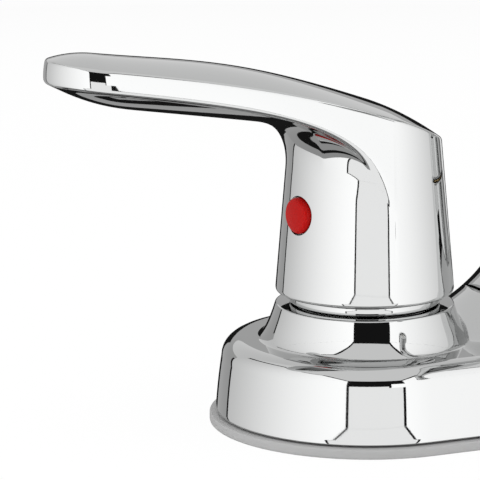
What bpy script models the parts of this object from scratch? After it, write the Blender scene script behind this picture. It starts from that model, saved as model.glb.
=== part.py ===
"""Two-handle utility faucet with lever handles on a 4-inch deck base.

The deck surface is Z = 0 and the threaded shanks hang below it. -Y faces the user and +X is the
user's right, so the hot valve stands at -X and the cold valve at +X. Lengths are in metres.
"""

import math

import bmesh
import bpy
import numpy as np
from mathutils import Matrix, Vector

MM = 0.001
CLEARANCE = 0.3 * MM
WELD = 0.001 * MM

# Whole faucet
VALVE_SPACING = 101.6 * MM
VALVE_OFFSET = VALVE_SPACING / 2
SIDES = {"hot": -1, "cold": 1}
DECK_THICKNESS = 8.0 * MM

# Base casting and the gasket under it
GASKET_THICKNESS = 1.9 * MM
GASKET_LIP = 1.2 * MM
GASKET_HOLE_MARGIN = 1.0 * MM
BASE_RADIUS = 28.7 * MM
BASE_DRAFT = 1.5 * MM
BASE_WALL_HEIGHT = 12.1 * MM
BASE_SHOULDER = 2.9 * MM
BASE_WALL = 2.8 * MM
BASE_BOTTOM = GASKET_THICKNESS + CLEARANCE
BASE_WALL_TOP = BASE_BOTTOM + BASE_WALL_HEIGHT
BASE_TOP = BASE_WALL_TOP + BASE_SHOULDER
BASE_CEILING = BASE_TOP - BASE_WALL

# Valve body with its shank
SHANK_RADIUS = 10.2 * MM
SHANK_LENGTH = 52.0 * MM
THREAD_SPACING = 3.2 * MM
THREAD_DEPTH = 0.8 * MM
VALVE_BORE = 9.9 * MM
VALVE_WALL = 2.5 * MM
VALVE_RADIUS = VALVE_BORE + VALVE_WALL
VALVE_FLANGE_REACH = 2.1 * MM
VALVE_FLANGE = 3.0 * MM
SEAT_LEDGE = 4.4 * MM
SEAT_FLOOR = -1.0 * MM
INLET_RADIUS = VALVE_BORE - SEAT_LEDGE

# Bonnet nut
BONNET_SKIRT = 7.0 * MM
BONNET_SKIRT_WALL = 1.0 * MM
BONNET_FLANGE = 1.5 * MM
BONNET_FLANGE_REACH = 1.9 * MM
BONNET_HEX = 4.8 * MM
BONNET_HEX_STEP = 1.6 * MM
BONNET_SKIRT_RADIUS = VALVE_RADIUS + CLEARANCE + BONNET_SKIRT_WALL
BONNET_FLANGE_RADIUS = BONNET_SKIRT_RADIUS + BONNET_FLANGE_REACH
BONNET_HEX_RADIUS = BONNET_SKIRT_RADIUS - BONNET_HEX_STEP

# Neck under each handle
NECK_WALL = 2.9 * MM
NECK_HEIGHT = 6.2 * MM
NECK_FLARE = 5.8 * MM
NECK_FLARE_POWER = 2.2
NECK_RISE_POWER = 1.15
NECK_BORE = BONNET_SKIRT_RADIUS + CLEARANCE
NECK_RADIUS = NECK_BORE + NECK_WALL
NECK_TOP = BASE_TOP + NECK_HEIGHT
VALVE_RECESS = 0.4 * MM
VALVE_TOP = NECK_TOP - VALVE_RECESS

# Ceramic cartridge
SHELL_WALL = 1.6 * MM
SHELL_RADIUS = VALVE_BORE - CLEARANCE
SHELL_BORE = SHELL_RADIUS - SHELL_WALL
SHELL_SHOULDER = 1.2 * MM
SHELL_SHOULDER_TOP = VALVE_TOP + SHELL_SHOULDER
SHELL_NECK = 8.8 * MM
SHELL_NECK_WALL = 1.1 * MM
SEAL_THICKNESS = 3.0 * MM
DISC_THICKNESS = 3.0 * MM
DISC_RADIUS = SHELL_BORE - CLEARANCE
DISC_NOTCH_DEPTH = 3.1 * MM
DISC_NOTCH_HALF_ANGLE = math.radians(38.0)
WINDOW_WIDTH = 8.0 * MM
STEM_RADIUS = 3.5 * MM
STEM_FLANGE = 3.4 * MM
GLAND_STEP = 1.4 * MM
GLAND_LENGTH = 9.4 * MM
GLAND_RADIUS = STEM_RADIUS + GLAND_STEP
SHELL_NECK_RADIUS = GLAND_RADIUS + CLEARANCE + SHELL_NECK_WALL
STEM_RING_SECTION = 1.1 * MM

# Handle: a conical body that runs out into a broad lever
RIM_GAP = 0.4 * MM
RIM_OVERHANG = 1.65 * MM
RIM_HEIGHT = NECK_TOP + CLEARANCE + BONNET_FLANGE + RIM_GAP
RIM_RADIUS = BONNET_FLANGE_RADIUS + RIM_OVERHANG
BODY_HEIGHT = 35.2 * MM
BODY_TAPER = 2.8 * MM
SHOULDER_RADIUS = RIM_RADIUS - BODY_TAPER
NOSE_RADIUS = 9.4 * MM
NOSE_REACH = 55.0 * MM
EDGE_AT_AXIS = RIM_HEIGHT + BODY_HEIGHT
EDGE_LIFT = 7.5 * MM
EDGE_LIFT_LENGTH = 30.0 * MM
EDGE_SLOPE = 0.103
CROWN_ENDS = 2.1 * MM
CROWN_MIDDLE = 2.8 * MM
BAND_HEIGHT = 4.3 * MM
BAND_DROP = 13.5 * MM
BAND_DROP_LENGTH = 7.0 * MM
BAND_SWELL = 0.5 * MM
BELLY_DEPTH = 4.1 * MM
BELLY_SLOPE = 0.152
BELLY_ROUNDNESS = 1.6
COVE_LEG = 9.0 * MM
HANDLE_WALL = 2.4 * MM
HANDLE_CAP = 13.8 * MM
HANDLE_CORE_TOP = EDGE_AT_AXIS - HANDLE_CAP
BOSS_GAP = 1.5 * MM
BOSS_WALL = 2.2 * MM
BOSS_BOTTOM = SHELL_SHOULDER_TOP + SHELL_NECK + BOSS_GAP
BOSS_RADIUS = STEM_RADIUS + CLEARANCE + BOSS_WALL
SOCKET_RISE = 3.0 * MM
STEM_SOCKET_TOP = HANDLE_CORE_TOP + SOCKET_RISE

# Index button and the set screw behind it
BUTTON_SHARE = 0.466
BUTTON_HEIGHT = RIM_HEIGHT + BUTTON_SHARE * BODY_HEIGHT
BUTTON_TURN = math.radians(11.0)
BUTTON_RADIUS = 3.45 * MM
BUTTON_PROUD = 1.0 * MM
BUTTON_DEPTH = 2.7 * MM
BUTTON_ROUNDING = 0.9 * MM
SCREW_RADIUS = 2.5 * MM
SCREW_KEY_WALL = 1.1 * MM
SCREW_KEY_DEPTH = 2.0 * MM
RIB_WALL = 0.85 * MM

# Spout
SPOUT_RADIUS = 9.5 * MM
SPOUT_WALL = 1.2 * MM
SPOUT_BORE = SPOUT_RADIUS - SPOUT_WALL
SPOUT_REACH = 140.0 * MM
SPOUT_RISER = 29.4 * MM
SPOUT_OUTLET = 9.0 * MM
SPOUT_PITCH = math.radians(8.0)
SPOUT_BEND = 28.0 * MM

# Hub under the spout, with the tee and its collar inside
COLLAR_WALL = 2.1 * MM
COLLAR_RADIUS = SPOUT_RADIUS + 2 * CLEARANCE + COLLAR_WALL
HUB_WALL = 4.5 * MM
HUB_RADIUS = COLLAR_RADIUS + CLEARANCE + HUB_WALL
HUB_HEIGHT = 27.8 * MM
HUB_TOP = BASE_TOP + HUB_HEIGHT
HUB_REACH_ALONG = 41.0 * MM
HUB_LEDGE = 0.7 * MM
HUB_REACH_ACROSS = BASE_RADIUS - BASE_DRAFT - BASE_SHOULDER - HUB_LEDGE
HUB_FLARE_POWER = 2.4
HUB_RISE_POWER = 1.25
HUB_CORE_SHARE = 0.6
HUB_CORE_WALL = 3.8 * MM
COLLAR_CONE = 6.8 * MM
COLLAR_START = BASE_TOP + COLLAR_CONE
COLLAR_RISE = 7.0 * MM
COLLAR_TOP = HUB_TOP + COLLAR_RISE
WELL_STEP = 6.0 * MM
WELL_FLOOR = COLLAR_START + WELL_STEP

# Crossover tubes and the tee's sockets
CROSSOVER_RADIUS = 4.0 * MM
CROSSOVER_WALL = 1.0 * MM
CROSSOVER_BORE = CROSSOVER_RADIUS - CROSSOVER_WALL
CROSSOVER_HEIGHT = (BASE_BOTTOM + BASE_CEILING) / 2
PORT_BOSS_RADIUS = (BASE_CEILING - BASE_BOTTOM) / 2 - CLEARANCE
PORT_BOSS = 5.6 * MM
PORT_BOSS_REACH = VALVE_RADIUS + PORT_BOSS
SOCKET_DEPTH = 4.0 * MM
TEE_PASSAGE = 5.0 * MM
TEE_WALL = 1.0 * MM
TEE_RADIUS = TEE_PASSAGE + TEE_WALL + SOCKET_DEPTH

# Spout foot, its O-rings and the nut over it
FOOT_FLANGE = 1.7 * MM
FOOT_FLANGE_RADIUS = COLLAR_RADIUS - 2 * CLEARANCE
FOOT_FLANGE_TOP = COLLAR_TOP + CLEARANCE + FOOT_FLANGE
FOOT_SPIGOT = 8.0 * MM
O_RING_SECTION = 1.7 * MM
O_RING_RISE = 5.0 * MM
O_RING_SPACING = 8.0 * MM
O_RING_HEIGHTS = {
    "lower_o_ring": WELL_FLOOR + O_RING_RISE,
    "upper_o_ring": WELL_FLOOR + O_RING_RISE + O_RING_SPACING,
}
WEAR_RING = 1.0 * MM
SPOUT_NUT_WALL = 3.0 * MM
SPOUT_NUT_LIP = 1.9 * MM
SPOUT_NUT_BEVEL = 1.2 * MM

# Aerator
AERATOR_WALL = 2.2 * MM
AERATOR_STEP = 0.8 * MM
AERATOR_LIP = 2.0 * MM
AERATOR_LIP_REACH = 2.0 * MM
AERATOR_INSERT = 3.2 * MM
AERATOR_WASHER = 1.7 * MM
AERATOR_WASHER_REACH = 1.0 * MM
AERATOR_MARGIN = 1.8 * MM
AERATOR_BEVEL = 0.8 * MM

# Fixings under the deck
WASHER_REACH = 6.8 * MM
WASHER_THICKNESS = 1.6 * MM
LOCK_NUT_REACH = 5.4 * MM
LOCK_NUT_HEIGHT = 8.0 * MM

# How finely the curves are divided
ROUND_STEPS = 24
SMALL_STEPS = 16
NECK_STEPS = 28
BASE_ARC_STEPS = 15
BASE_SHOULDER_STEPS = 5
NECK_RINGS = 6
HUB_RINGS = 8
HUB_CORE_RINGS = 4
NOTCH_STEPS = 6
DISC_STEPS = 8
RING_SECTION_STEPS = 6
BEND_STEPS = 7
QUARTER_STEPS = 9
NOSE_STEPS = 6
EDGE_SPACING_POWER = 1.6
PATH_SAMPLES = 24
MERIDIAN_STATIONS = (0.0, 0.05, 0.12, 0.2, 0.32, 0.5, 0.72, 0.92, 1.0)
DOME_RINGS = (0.75, 0.4, 0.0)
WALL_SHARE = 0.4


def clear_scene():
    for obj in list(bpy.data.objects):
        bpy.data.objects.remove(obj, do_unlink=True)


def make_finish(name, colour, metallic, roughness):
    finish = bpy.data.materials.new(name)
    finish.use_nodes = True
    shader = finish.node_tree.nodes["Principled BSDF"]
    shader.inputs["Base Color"].default_value = (*colour, 1.0)
    shader.inputs["Metallic"].default_value = metallic
    shader.inputs["Roughness"].default_value = roughness
    return finish


def make_finishes():
    return {
        "chrome": make_finish("polished chrome", (0.80, 0.81, 0.82), 1.0, 0.05),
        "brass": make_finish("machined brass", (0.78, 0.57, 0.28), 1.0, 0.30),
        "copper": make_finish("copper tube", (0.75, 0.38, 0.25), 1.0, 0.35),
        "rubber": make_finish("black rubber", (0.03, 0.03, 0.03), 0.0, 0.60),
        "gasket": make_finish("grey gasket plastic", (0.46, 0.46, 0.46), 0.0, 0.55),
        "steel": make_finish("bright steel", (0.60, 0.60, 0.60), 1.0, 0.30),
        "ceramic": make_finish("white ceramic", (0.85, 0.84, 0.82), 0.0, 0.20),
        "plastic": make_finish("white acetal", (0.80, 0.80, 0.78), 0.0, 0.40),
        "red": make_finish("red plastic", (0.42, 0.02, 0.015), 0.0, 0.25),
        "blue": make_finish("blue plastic", (0.015, 0.06, 0.42), 0.0, 0.25),
    }


def add_part(name, bm, finish, location=(0, 0, 0), parent=None):
    """Turn a bmesh into a smooth-shaded object that stands for one physical piece."""
    bmesh.ops.recalc_face_normals(bm, faces=bm.faces)
    mesh = bpy.data.meshes.new(name)
    bm.to_mesh(mesh)
    bm.free()
    mesh.shade_smooth()
    mesh.set_sharp_from_angle(angle=math.radians(35))
    if finish:
        mesh.materials.append(finish)
    part = bpy.data.objects.new(name, mesh)
    bpy.context.scene.collection.objects.link(part)
    part.location = location
    part.parent = parent
    bpy.context.view_layer.update()
    return part


def combine(target, tool_mesh, operation, location=(0, 0, 0)):
    """Cut a bmesh out of a part, or join it on, and keep the result in the part's mesh."""
    tool = add_part("tool", tool_mesh, None, location, target.parent)
    boolean = target.modifiers.new(operation.lower(), "BOOLEAN")
    boolean.operation = operation
    boolean.object = tool
    with bpy.context.temp_override(object=target, active_object=target):
        bpy.ops.object.modifier_apply(modifier=boolean.name)
    bpy.data.objects.remove(tool, do_unlink=True)
    joined = bmesh.new()
    joined.from_mesh(target.data)
    bmesh.ops.remove_doubles(joined, verts=joined.verts, dist=WELD)
    joined.to_mesh(target.data)
    joined.free()


def cut(target, tool_mesh, location=(0, 0, 0)):
    combine(target, tool_mesh, "DIFFERENCE", location)


def weld_on(target, tool_mesh, location=(0, 0, 0)):
    combine(target, tool_mesh, "UNION", location)


def turned(outline, steps=ROUND_STEPS):
    """Spin an outline of (radius, height) pairs round Z; one that starts and ends at radius 0 is solid."""
    bm = bmesh.new()
    points = [bm.verts.new((radius, 0, height)) for radius, height in outline]
    pairs = list(zip(points, points[1:]))
    if outline[0][0] > 0 or outline[-1][0] > 0:
        pairs.append((points[-1], points[0]))
    edges = [bm.edges.new(pair) for pair in pairs]
    bmesh.ops.spin(bm, geom=points + edges, cent=(0, 0, 0), axis=(0, 0, 1), angle=math.tau,
                   steps=steps, use_merge=True)
    bmesh.ops.remove_doubles(bm, verts=bm.verts, dist=WELD)
    return bm


def cylinder(radius, low, high, steps=SMALL_STEPS):
    return turned([(0, low), (radius, low), (radius, high), (0, high)], steps)


def ring(outer, inner, low, high, steps=SMALL_STEPS):
    return turned([(outer, low), (outer, high), (inner, high), (inner, low)], steps)


def torus(centre_radius, section_radius, height, steps=SMALL_STEPS):
    angles = [math.tau * i / RING_SECTION_STEPS for i in range(RING_SECTION_STEPS)]
    outline = [(centre_radius + section_radius * math.cos(a), height + section_radius * math.sin(a))
               for a in angles]
    return turned(outline, steps)


def lofted(rings):
    """Closed skin over rings with equal point counts; the first and last ring are capped."""
    bm = bmesh.new()
    loops = [[bm.verts.new(point) for point in points] for points in rings]
    for low, high in zip(loops, loops[1:]):
        for i, point in enumerate(low):
            j = (i + 1) % len(low)
            bm.faces.new((point, low[j], high[j], high[i]))
    bm.faces.new(loops[0][::-1])
    bm.faces.new(loops[-1])
    return bm


def prism(corners, low, high):
    return lofted([[(x, y, low) for x, y in corners], [(x, y, high) for x, y in corners]])


def hexagon(radius):
    return [(radius * math.cos(math.tau * i / 6), radius * math.sin(math.tau * i / 6)) for i in range(6)]


def aim(bm, direction, origin=(0, 0, 0)):
    """Turn a shape built along Z to point along a direction, then move it to an origin."""
    turn = Vector((0, 0, 1)).rotation_difference(Vector(direction)).to_matrix().to_4x4()
    bmesh.ops.transform(bm, matrix=Matrix.Translation(origin) @ turn, verts=bm.verts)
    return bm


def stadium(radius, height):
    """Level outline with round ends centred on the two valve axes."""
    points = []
    for centre, start in ((-VALVE_OFFSET, math.pi / 2), (VALVE_OFFSET, -math.pi / 2)):
        for i in range(BASE_ARC_STEPS + 1):
            angle = start + math.pi * i / BASE_ARC_STEPS
            points.append((centre + radius * math.cos(angle), radius * math.sin(angle), height))
    return points


def make_gasket(finishes):
    low, high = 0.0, GASKET_THICKNESS
    radius = BASE_RADIUS + GASKET_LIP
    gasket = add_part("deck_gasket", lofted([stadium(radius, low), stadium(radius, high)]),
                      finishes["gasket"])
    hole_radius = SHANK_RADIUS + GASKET_HOLE_MARGIN
    for side in SIDES.values():
        cut(gasket, cylinder(hole_radius, low - MM, high + MM), (side * VALVE_OFFSET, 0, 0))


def base_skin():
    """Drafted wall, quarter-round shoulder and flat top."""
    rings = [stadium(BASE_RADIUS, BASE_BOTTOM), stadium(BASE_RADIUS - BASE_DRAFT, BASE_WALL_TOP)]
    for i in range(1, BASE_SHOULDER_STEPS + 1):
        angle = math.pi / 2 * i / BASE_SHOULDER_STEPS
        inset = BASE_DRAFT + BASE_SHOULDER * (1 - math.cos(angle))
        rings.append(stadium(BASE_RADIUS - inset, BASE_WALL_TOP + BASE_SHOULDER * math.sin(angle)))
    return lofted(rings)


def neck_skin():
    """Neck that widens in a hollow curve into the top of the base."""
    outline = [(0, BASE_BOTTOM + BASE_WALL), (NECK_RADIUS + NECK_FLARE, BASE_BOTTOM + BASE_WALL)]
    low = BASE_TOP - CLEARANCE
    for i in range(NECK_RINGS + 1):
        share = i / NECK_RINGS
        radius = NECK_RADIUS + NECK_FLARE * (1 - share) ** NECK_FLARE_POWER
        outline.append((radius, low + (NECK_TOP - low) * share ** NECK_RISE_POWER))
    outline.append((0, NECK_TOP))
    return turned(outline, NECK_STEPS)


def hub_ring(share, inset=0.0, drop=0.0):
    """Level section of the bell-shaped hub, from 0 at the base top to 1 at its upper end."""
    flare = (1 - share) ** HUB_FLARE_POWER
    along = HUB_RADIUS + (HUB_REACH_ALONG - HUB_RADIUS) * flare - inset
    across = HUB_RADIUS + (HUB_REACH_ACROSS - HUB_RADIUS) * flare - inset
    low = BASE_TOP - CLEARANCE
    height = low + (HUB_TOP - low) * share ** HUB_RISE_POWER - drop
    angles = [math.tau * i / ROUND_STEPS for i in range(ROUND_STEPS)]
    return [(along * math.cos(a), across * math.sin(a), height) for a in angles]


def make_base(finishes):
    base = add_part("base_casting", base_skin(), finishes["chrome"])
    for side in SIDES.values():
        weld_on(base, neck_skin(), (side * VALVE_OFFSET, 0, 0))
    foot = [(x, y, BASE_BOTTOM + BASE_WALL) for x, y, z in hub_ring(0)]
    weld_on(base, lofted([foot] + [hub_ring(i / HUB_RINGS) for i in range(HUB_RINGS + 1)]))

    floor = -BASE_WALL
    inner = BASE_RADIUS - BASE_WALL
    cut(base, lofted([stadium(inner, floor), stadium(inner - BASE_DRAFT, BASE_CEILING)]))
    core_foot = [(x, y, floor) for x, y, z in hub_ring(0, HUB_CORE_WALL)]
    shares = [HUB_CORE_SHARE * i / HUB_CORE_RINGS for i in range(HUB_CORE_RINGS + 1)]
    cut(base, lofted([core_foot] + [hub_ring(share, HUB_CORE_WALL, BASE_WALL) for share in shares]))
    for side in SIDES.values():
        cut(base, cylinder(NECK_BORE, floor, NECK_TOP + MM, ROUND_STEPS), (side * VALVE_OFFSET, 0, 0))
    cut(base, cylinder(COLLAR_RADIUS + CLEARANCE, floor, HUB_TOP + MM, ROUND_STEPS))


def shank_outline(low, high):
    """Side of the shank: the thread as ridges from its lower end up to the deck's underside."""
    turns = round((high - low) / THREAD_SPACING)
    pitch = (high - low) / turns
    outline = []
    for i in range(turns):
        outline.append((SHANK_RADIUS - THREAD_DEPTH, low + pitch * i))
        outline.append((SHANK_RADIUS, low + pitch * (i + 0.5)))
    outline += [(SHANK_RADIUS - THREAD_DEPTH, high), (SHANK_RADIUS, high + THREAD_DEPTH)]
    return outline


def make_valve_body(name, side, finish):
    """Brass valve body: shank through the deck, cartridge bore and outlet port towards the tee."""
    low = BASE_BOTTOM
    flange_top = low + VALVE_FLANGE
    flange_radius = VALVE_RADIUS + VALVE_FLANGE_REACH
    outline = [(INLET_RADIUS, -SHANK_LENGTH)] + shank_outline(-SHANK_LENGTH, -DECK_THICKNESS)
    outline += [
        (SHANK_RADIUS, low), (flange_radius, low), (flange_radius, flange_top), (VALVE_RADIUS, flange_top),
        (VALVE_RADIUS, VALVE_TOP), (VALVE_BORE, VALVE_TOP), (VALVE_BORE, SEAT_FLOOR),
        (INLET_RADIUS, SEAT_FLOOR),
    ]
    axis = (side * VALVE_OFFSET, 0, 0)
    body = add_part(name, turned(outline, ROUND_STEPS), finish, axis)
    inward = (-side, 0, 0)
    port = (0, 0, CROSSOVER_HEIGHT)
    bore_edge = VALVE_BORE + MM
    weld_on(body, aim(cylinder(PORT_BOSS_RADIUS, bore_edge, PORT_BOSS_REACH), inward, port), axis)
    tube_hole = CROSSOVER_RADIUS + CLEARANCE
    stop = PORT_BOSS_REACH - SOCKET_DEPTH
    cut(body, aim(cylinder(tube_hole, stop, PORT_BOSS_REACH + MM), inward, port), axis)
    cut(body, aim(cylinder(CROSSOVER_BORE, VALVE_BORE - MM, stop + MM), inward, port), axis)


def make_crossover(name, side, finish):
    """Copper tube from a valve body's port to the tee."""
    tee_end = TEE_RADIUS - SOCKET_DEPTH + CLEARANCE
    valve_end = VALVE_OFFSET - PORT_BOSS_REACH + SOCKET_DEPTH - CLEARANCE
    tube = ring(CROSSOVER_RADIUS, CROSSOVER_BORE, tee_end, valve_end)
    add_part(name, aim(tube, (side, 0, 0), (0, 0, CROSSOVER_HEIGHT)), finish)


def make_tee(finishes):
    """Tee that joins the crossovers and rises through the hub as the spout's socket."""
    low = BASE_BOTTOM
    well = SPOUT_RADIUS + 2 * CLEARANCE
    outline = [
        (0, low), (TEE_RADIUS, low), (TEE_RADIUS, BASE_TOP), (COLLAR_RADIUS, COLLAR_START),
        (COLLAR_RADIUS, COLLAR_TOP), (well, COLLAR_TOP), (well, WELL_FLOOR),
        (TEE_PASSAGE, WELL_FLOOR), (TEE_PASSAGE, low + BASE_WALL), (0, low + BASE_WALL),
    ]
    skin = turned(outline, ROUND_STEPS)
    half_step = Matrix.Rotation(math.pi / ROUND_STEPS, 3, "Z")
    bmesh.ops.rotate(skin, verts=skin.verts, cent=(0, 0, 0), matrix=half_step)
    tee = add_part("mixing_tee", skin, finishes["brass"])
    port = (0, 0, CROSSOVER_HEIGHT)
    stop = TEE_RADIUS - SOCKET_DEPTH
    for side in SIDES.values():
        tube_hole = CROSSOVER_RADIUS + CLEARANCE
        cut(tee, aim(cylinder(tube_hole, stop, TEE_RADIUS + MM), (side, 0, 0), port))
        cut(tee, aim(cylinder(CROSSOVER_BORE, TEE_PASSAGE - MM, stop + MM), (side, 0, 0), port))


def make_fixings(name, side, finishes):
    """Washer and lock nut that clamp the shank under the deck."""
    axis = (side * VALVE_OFFSET, 0, 0)
    hole = SHANK_RADIUS + CLEARANCE
    washer_low = -DECK_THICKNESS - WASHER_THICKNESS
    washer = ring(SHANK_RADIUS + WASHER_REACH, hole, washer_low, -DECK_THICKNESS, ROUND_STEPS)
    add_part(name + "_fixing_washer", washer, finishes["steel"], axis)
    nut_top = washer_low - CLEARANCE
    nut_outline = hexagon(SHANK_RADIUS + LOCK_NUT_REACH)
    nut = add_part(name + "_lock_nut", prism(nut_outline, nut_top - LOCK_NUT_HEIGHT, nut_top),
                   finishes["brass"], axis)
    cut(nut, cylinder(hole, nut_top - LOCK_NUT_HEIGHT - MM, nut_top + MM), axis)


def make_bonnet_nut(name, side, finish):
    """Nut that clamps the base casting and holds the cartridge down."""
    seat = NECK_TOP + CLEARANCE
    flange_top = seat + BONNET_FLANGE
    skirt_bore = VALVE_RADIUS + CLEARANCE
    lip = SHELL_SHOULDER_TOP + CLEARANCE
    lip_bore = SHELL_NECK_RADIUS + CLEARANCE
    outline = [
        (skirt_bore, seat - BONNET_SKIRT), (BONNET_SKIRT_RADIUS, seat - BONNET_SKIRT),
        (BONNET_SKIRT_RADIUS, seat), (BONNET_FLANGE_RADIUS, seat), (BONNET_FLANGE_RADIUS, flange_top),
        (lip_bore, flange_top), (lip_bore, lip), (skirt_bore, lip),
    ]
    axis = (side * VALVE_OFFSET, 0, 0)
    nut = add_part(name, turned(outline, ROUND_STEPS), finish, axis)
    hex_top = flange_top + BONNET_HEX
    weld_on(nut, prism(hexagon(BONNET_HEX_RADIUS), flange_top - BONNET_FLANGE / 4, hex_top), axis)
    cut(nut, cylinder(lip_bore, lip - MM, hex_top + MM), axis)


def cartridge_levels():
    """Heights of the cartridge's stack, from the seat floor up."""
    levels = {"seal": SEAT_FLOOR + CLEARANCE}
    levels["fixed"] = levels["seal"] + SEAL_THICKNESS + CLEARANCE
    levels["moving"] = levels["fixed"] + DISC_THICKNESS + CLEARANCE
    levels["stem"] = levels["moving"] + DISC_THICKNESS + CLEARANCE
    levels["gland"] = levels["stem"] + STEM_FLANGE
    levels["gland_top"] = levels["gland"] + GLAND_LENGTH
    return levels


def make_cartridge(name, side, pivot, finishes):
    axis = (side * VALVE_OFFSET, 0, 0)
    level = cartridge_levels()
    gland_bore = GLAND_RADIUS + CLEARANCE
    stem_bore = STEM_RADIUS + CLEARANCE
    gland_stop = level["gland_top"] + CLEARANCE
    ledge = level["gland"] + CLEARANCE
    neck_top = SHELL_SHOULDER_TOP + SHELL_NECK
    outline = [
        (SHELL_BORE, level["seal"]), (SHELL_RADIUS, level["seal"]), (SHELL_RADIUS, SHELL_SHOULDER_TOP),
        (SHELL_NECK_RADIUS, SHELL_SHOULDER_TOP), (SHELL_NECK_RADIUS, neck_top), (stem_bore, neck_top),
        (stem_bore, gland_stop), (gland_bore, gland_stop), (gland_bore, ledge), (SHELL_BORE, ledge),
    ]
    shell = add_part(name + "_cartridge_shell", turned(outline), finishes["brass"], axis)
    half = WINDOW_WIDTH / 2
    across = SHELL_RADIUS + MM
    window = [(-across, -half), (across, -half), (across, half), (-across, half)]
    cut(shell, prism(window, level["moving"], level["stem"]), axis)

    seal = ring(DISC_RADIUS, INLET_RADIUS, level["seal"], level["seal"] + SEAL_THICKNESS)
    add_part(name + "_seat_seal", seal, finishes["rubber"], axis)
    fixed = prism(notched_disc(math.radians(90)), level["fixed"], level["fixed"] + DISC_THICKNESS)
    add_part(name + "_fixed_disc", fixed, finishes["ceramic"], axis)
    moving = prism(notched_disc(0.0), level["moving"], level["moving"] + DISC_THICKNESS)
    add_part(name + "_moving_disc", moving, finishes["ceramic"], parent=pivot)
    make_stem(name, pivot, level, finishes)


def notched_disc(turn):
    """Disc outline with two water notches opposite each other."""
    points = []
    half = DISC_NOTCH_HALF_ANGLE
    notch = DISC_RADIUS - DISC_NOTCH_DEPTH
    for centre in (turn, turn + math.pi):
        for i in range(NOTCH_STEPS + 1):
            points.append((notch, centre - half + 2 * half * i / NOTCH_STEPS))
        for i in range(DISC_STEPS + 1):
            points.append((DISC_RADIUS, centre + half + (math.pi - 2 * half) * i / DISC_STEPS))
    return [(radius * math.cos(angle), radius * math.sin(angle)) for radius, angle in points]


def make_stem(name, pivot, level, finishes):
    gland = level["gland"]
    gland_top = level["gland_top"]
    ring_height = (gland + gland_top) / 2
    groove = GLAND_RADIUS - STEM_RING_SECTION
    groove_low = ring_height - STEM_RING_SECTION
    groove_high = ring_height + STEM_RING_SECTION
    top = STEM_SOCKET_TOP - CLEARANCE
    outline = [
        (0, level["stem"]), (DISC_RADIUS, level["stem"]), (DISC_RADIUS, gland), (GLAND_RADIUS, gland),
        (GLAND_RADIUS, groove_low), (groove, groove_low), (groove, groove_high),
        (GLAND_RADIUS, groove_high), (GLAND_RADIUS, gland_top), (STEM_RADIUS, gland_top),
        (STEM_RADIUS, top), (0, top),
    ]
    add_part(name + "_stem", turned(outline), finishes["brass"], parent=pivot)
    section = (STEM_RING_SECTION - CLEARANCE / 2) / 2
    centre = groove + CLEARANCE / 2 + section
    seal = torus(centre, section, ring_height)
    add_part(name + "_stem_o_ring", seal, finishes["rubber"], parent=pivot)


def edge_height(u):
    """Height of the handle's top edge at a distance u from the stem towards the lever's nose."""
    return EDGE_AT_AXIS + EDGE_LIFT * (1 - math.exp(-u / EDGE_LIFT_LENGTH)) + EDGE_SLOPE * u


def band_height(u):
    """Height of the side band, which widens towards the body."""
    return BAND_HEIGHT + BAND_DROP * math.exp(-max(u, 0.0) / BAND_DROP_LENGTH)


def body_draft():
    return (RIM_RADIUS - SHOULDER_RADIUS) / (EDGE_AT_AXIS - RIM_HEIGHT)


def body_radius(height):
    return RIM_RADIUS - body_draft() * (height - RIM_HEIGHT)


def taper_angle():
    return math.asin((SHOULDER_RADIUS - NOSE_RADIUS) / NOSE_REACH)


def half_width(u):
    """Half-width of the straight stretch of the lever's top outline."""
    return (SHOULDER_RADIUS - u * math.sin(taper_angle())) / math.cos(taper_angle())


def handle_outline():
    """Half of the top outline from the back to the nose: position, outward angle and spine point."""
    tangent = math.pi / 2 - taper_angle()
    start = Vector((math.cos(tangent), math.sin(tangent))) * SHOULDER_RADIUS
    end = Vector((math.cos(tangent), math.sin(tangent))) * NOSE_RADIUS + Vector((NOSE_REACH, 0))
    stations = []
    for i in range(QUARTER_STEPS):
        angle = math.pi + (tangent - math.pi) * i / QUARTER_STEPS
        place = Vector((math.cos(angle), math.sin(angle))) * SHOULDER_RADIUS
        stations.append((place, angle, 0.0))
    for i in range(QUARTER_STEPS):
        share = (i / QUARTER_STEPS) ** EDGE_SPACING_POWER
        stations.append((start.lerp(end, share), tangent, share * NOSE_REACH))
    for i in range(NOSE_STEPS):
        angle = tangent * (1 - i / NOSE_STEPS)
        place = Vector((math.cos(angle), math.sin(angle))) * NOSE_RADIUS + Vector((NOSE_REACH, 0))
        stations.append((place, angle, NOSE_REACH))
    tip = Vector((NOSE_REACH + NOSE_RADIUS, 0))
    stations.append((tip, 0.0, NOSE_REACH))
    return stations


def belly_height(u, v):
    """Height of the lever's rounded underside."""
    if u > NOSE_REACH:
        spread = math.hypot(u - NOSE_REACH, v) / NOSE_RADIUS
    else:
        spread = abs(v) / half_width(max(u, 0.0))
    keel = EDGE_AT_AXIS - BELLY_DEPTH + BELLY_SLOPE * u
    edge = edge_height(u) - band_height(u)
    return keel + (edge - keel) * min(spread, 1.0) ** BELLY_ROUNDNESS


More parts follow.
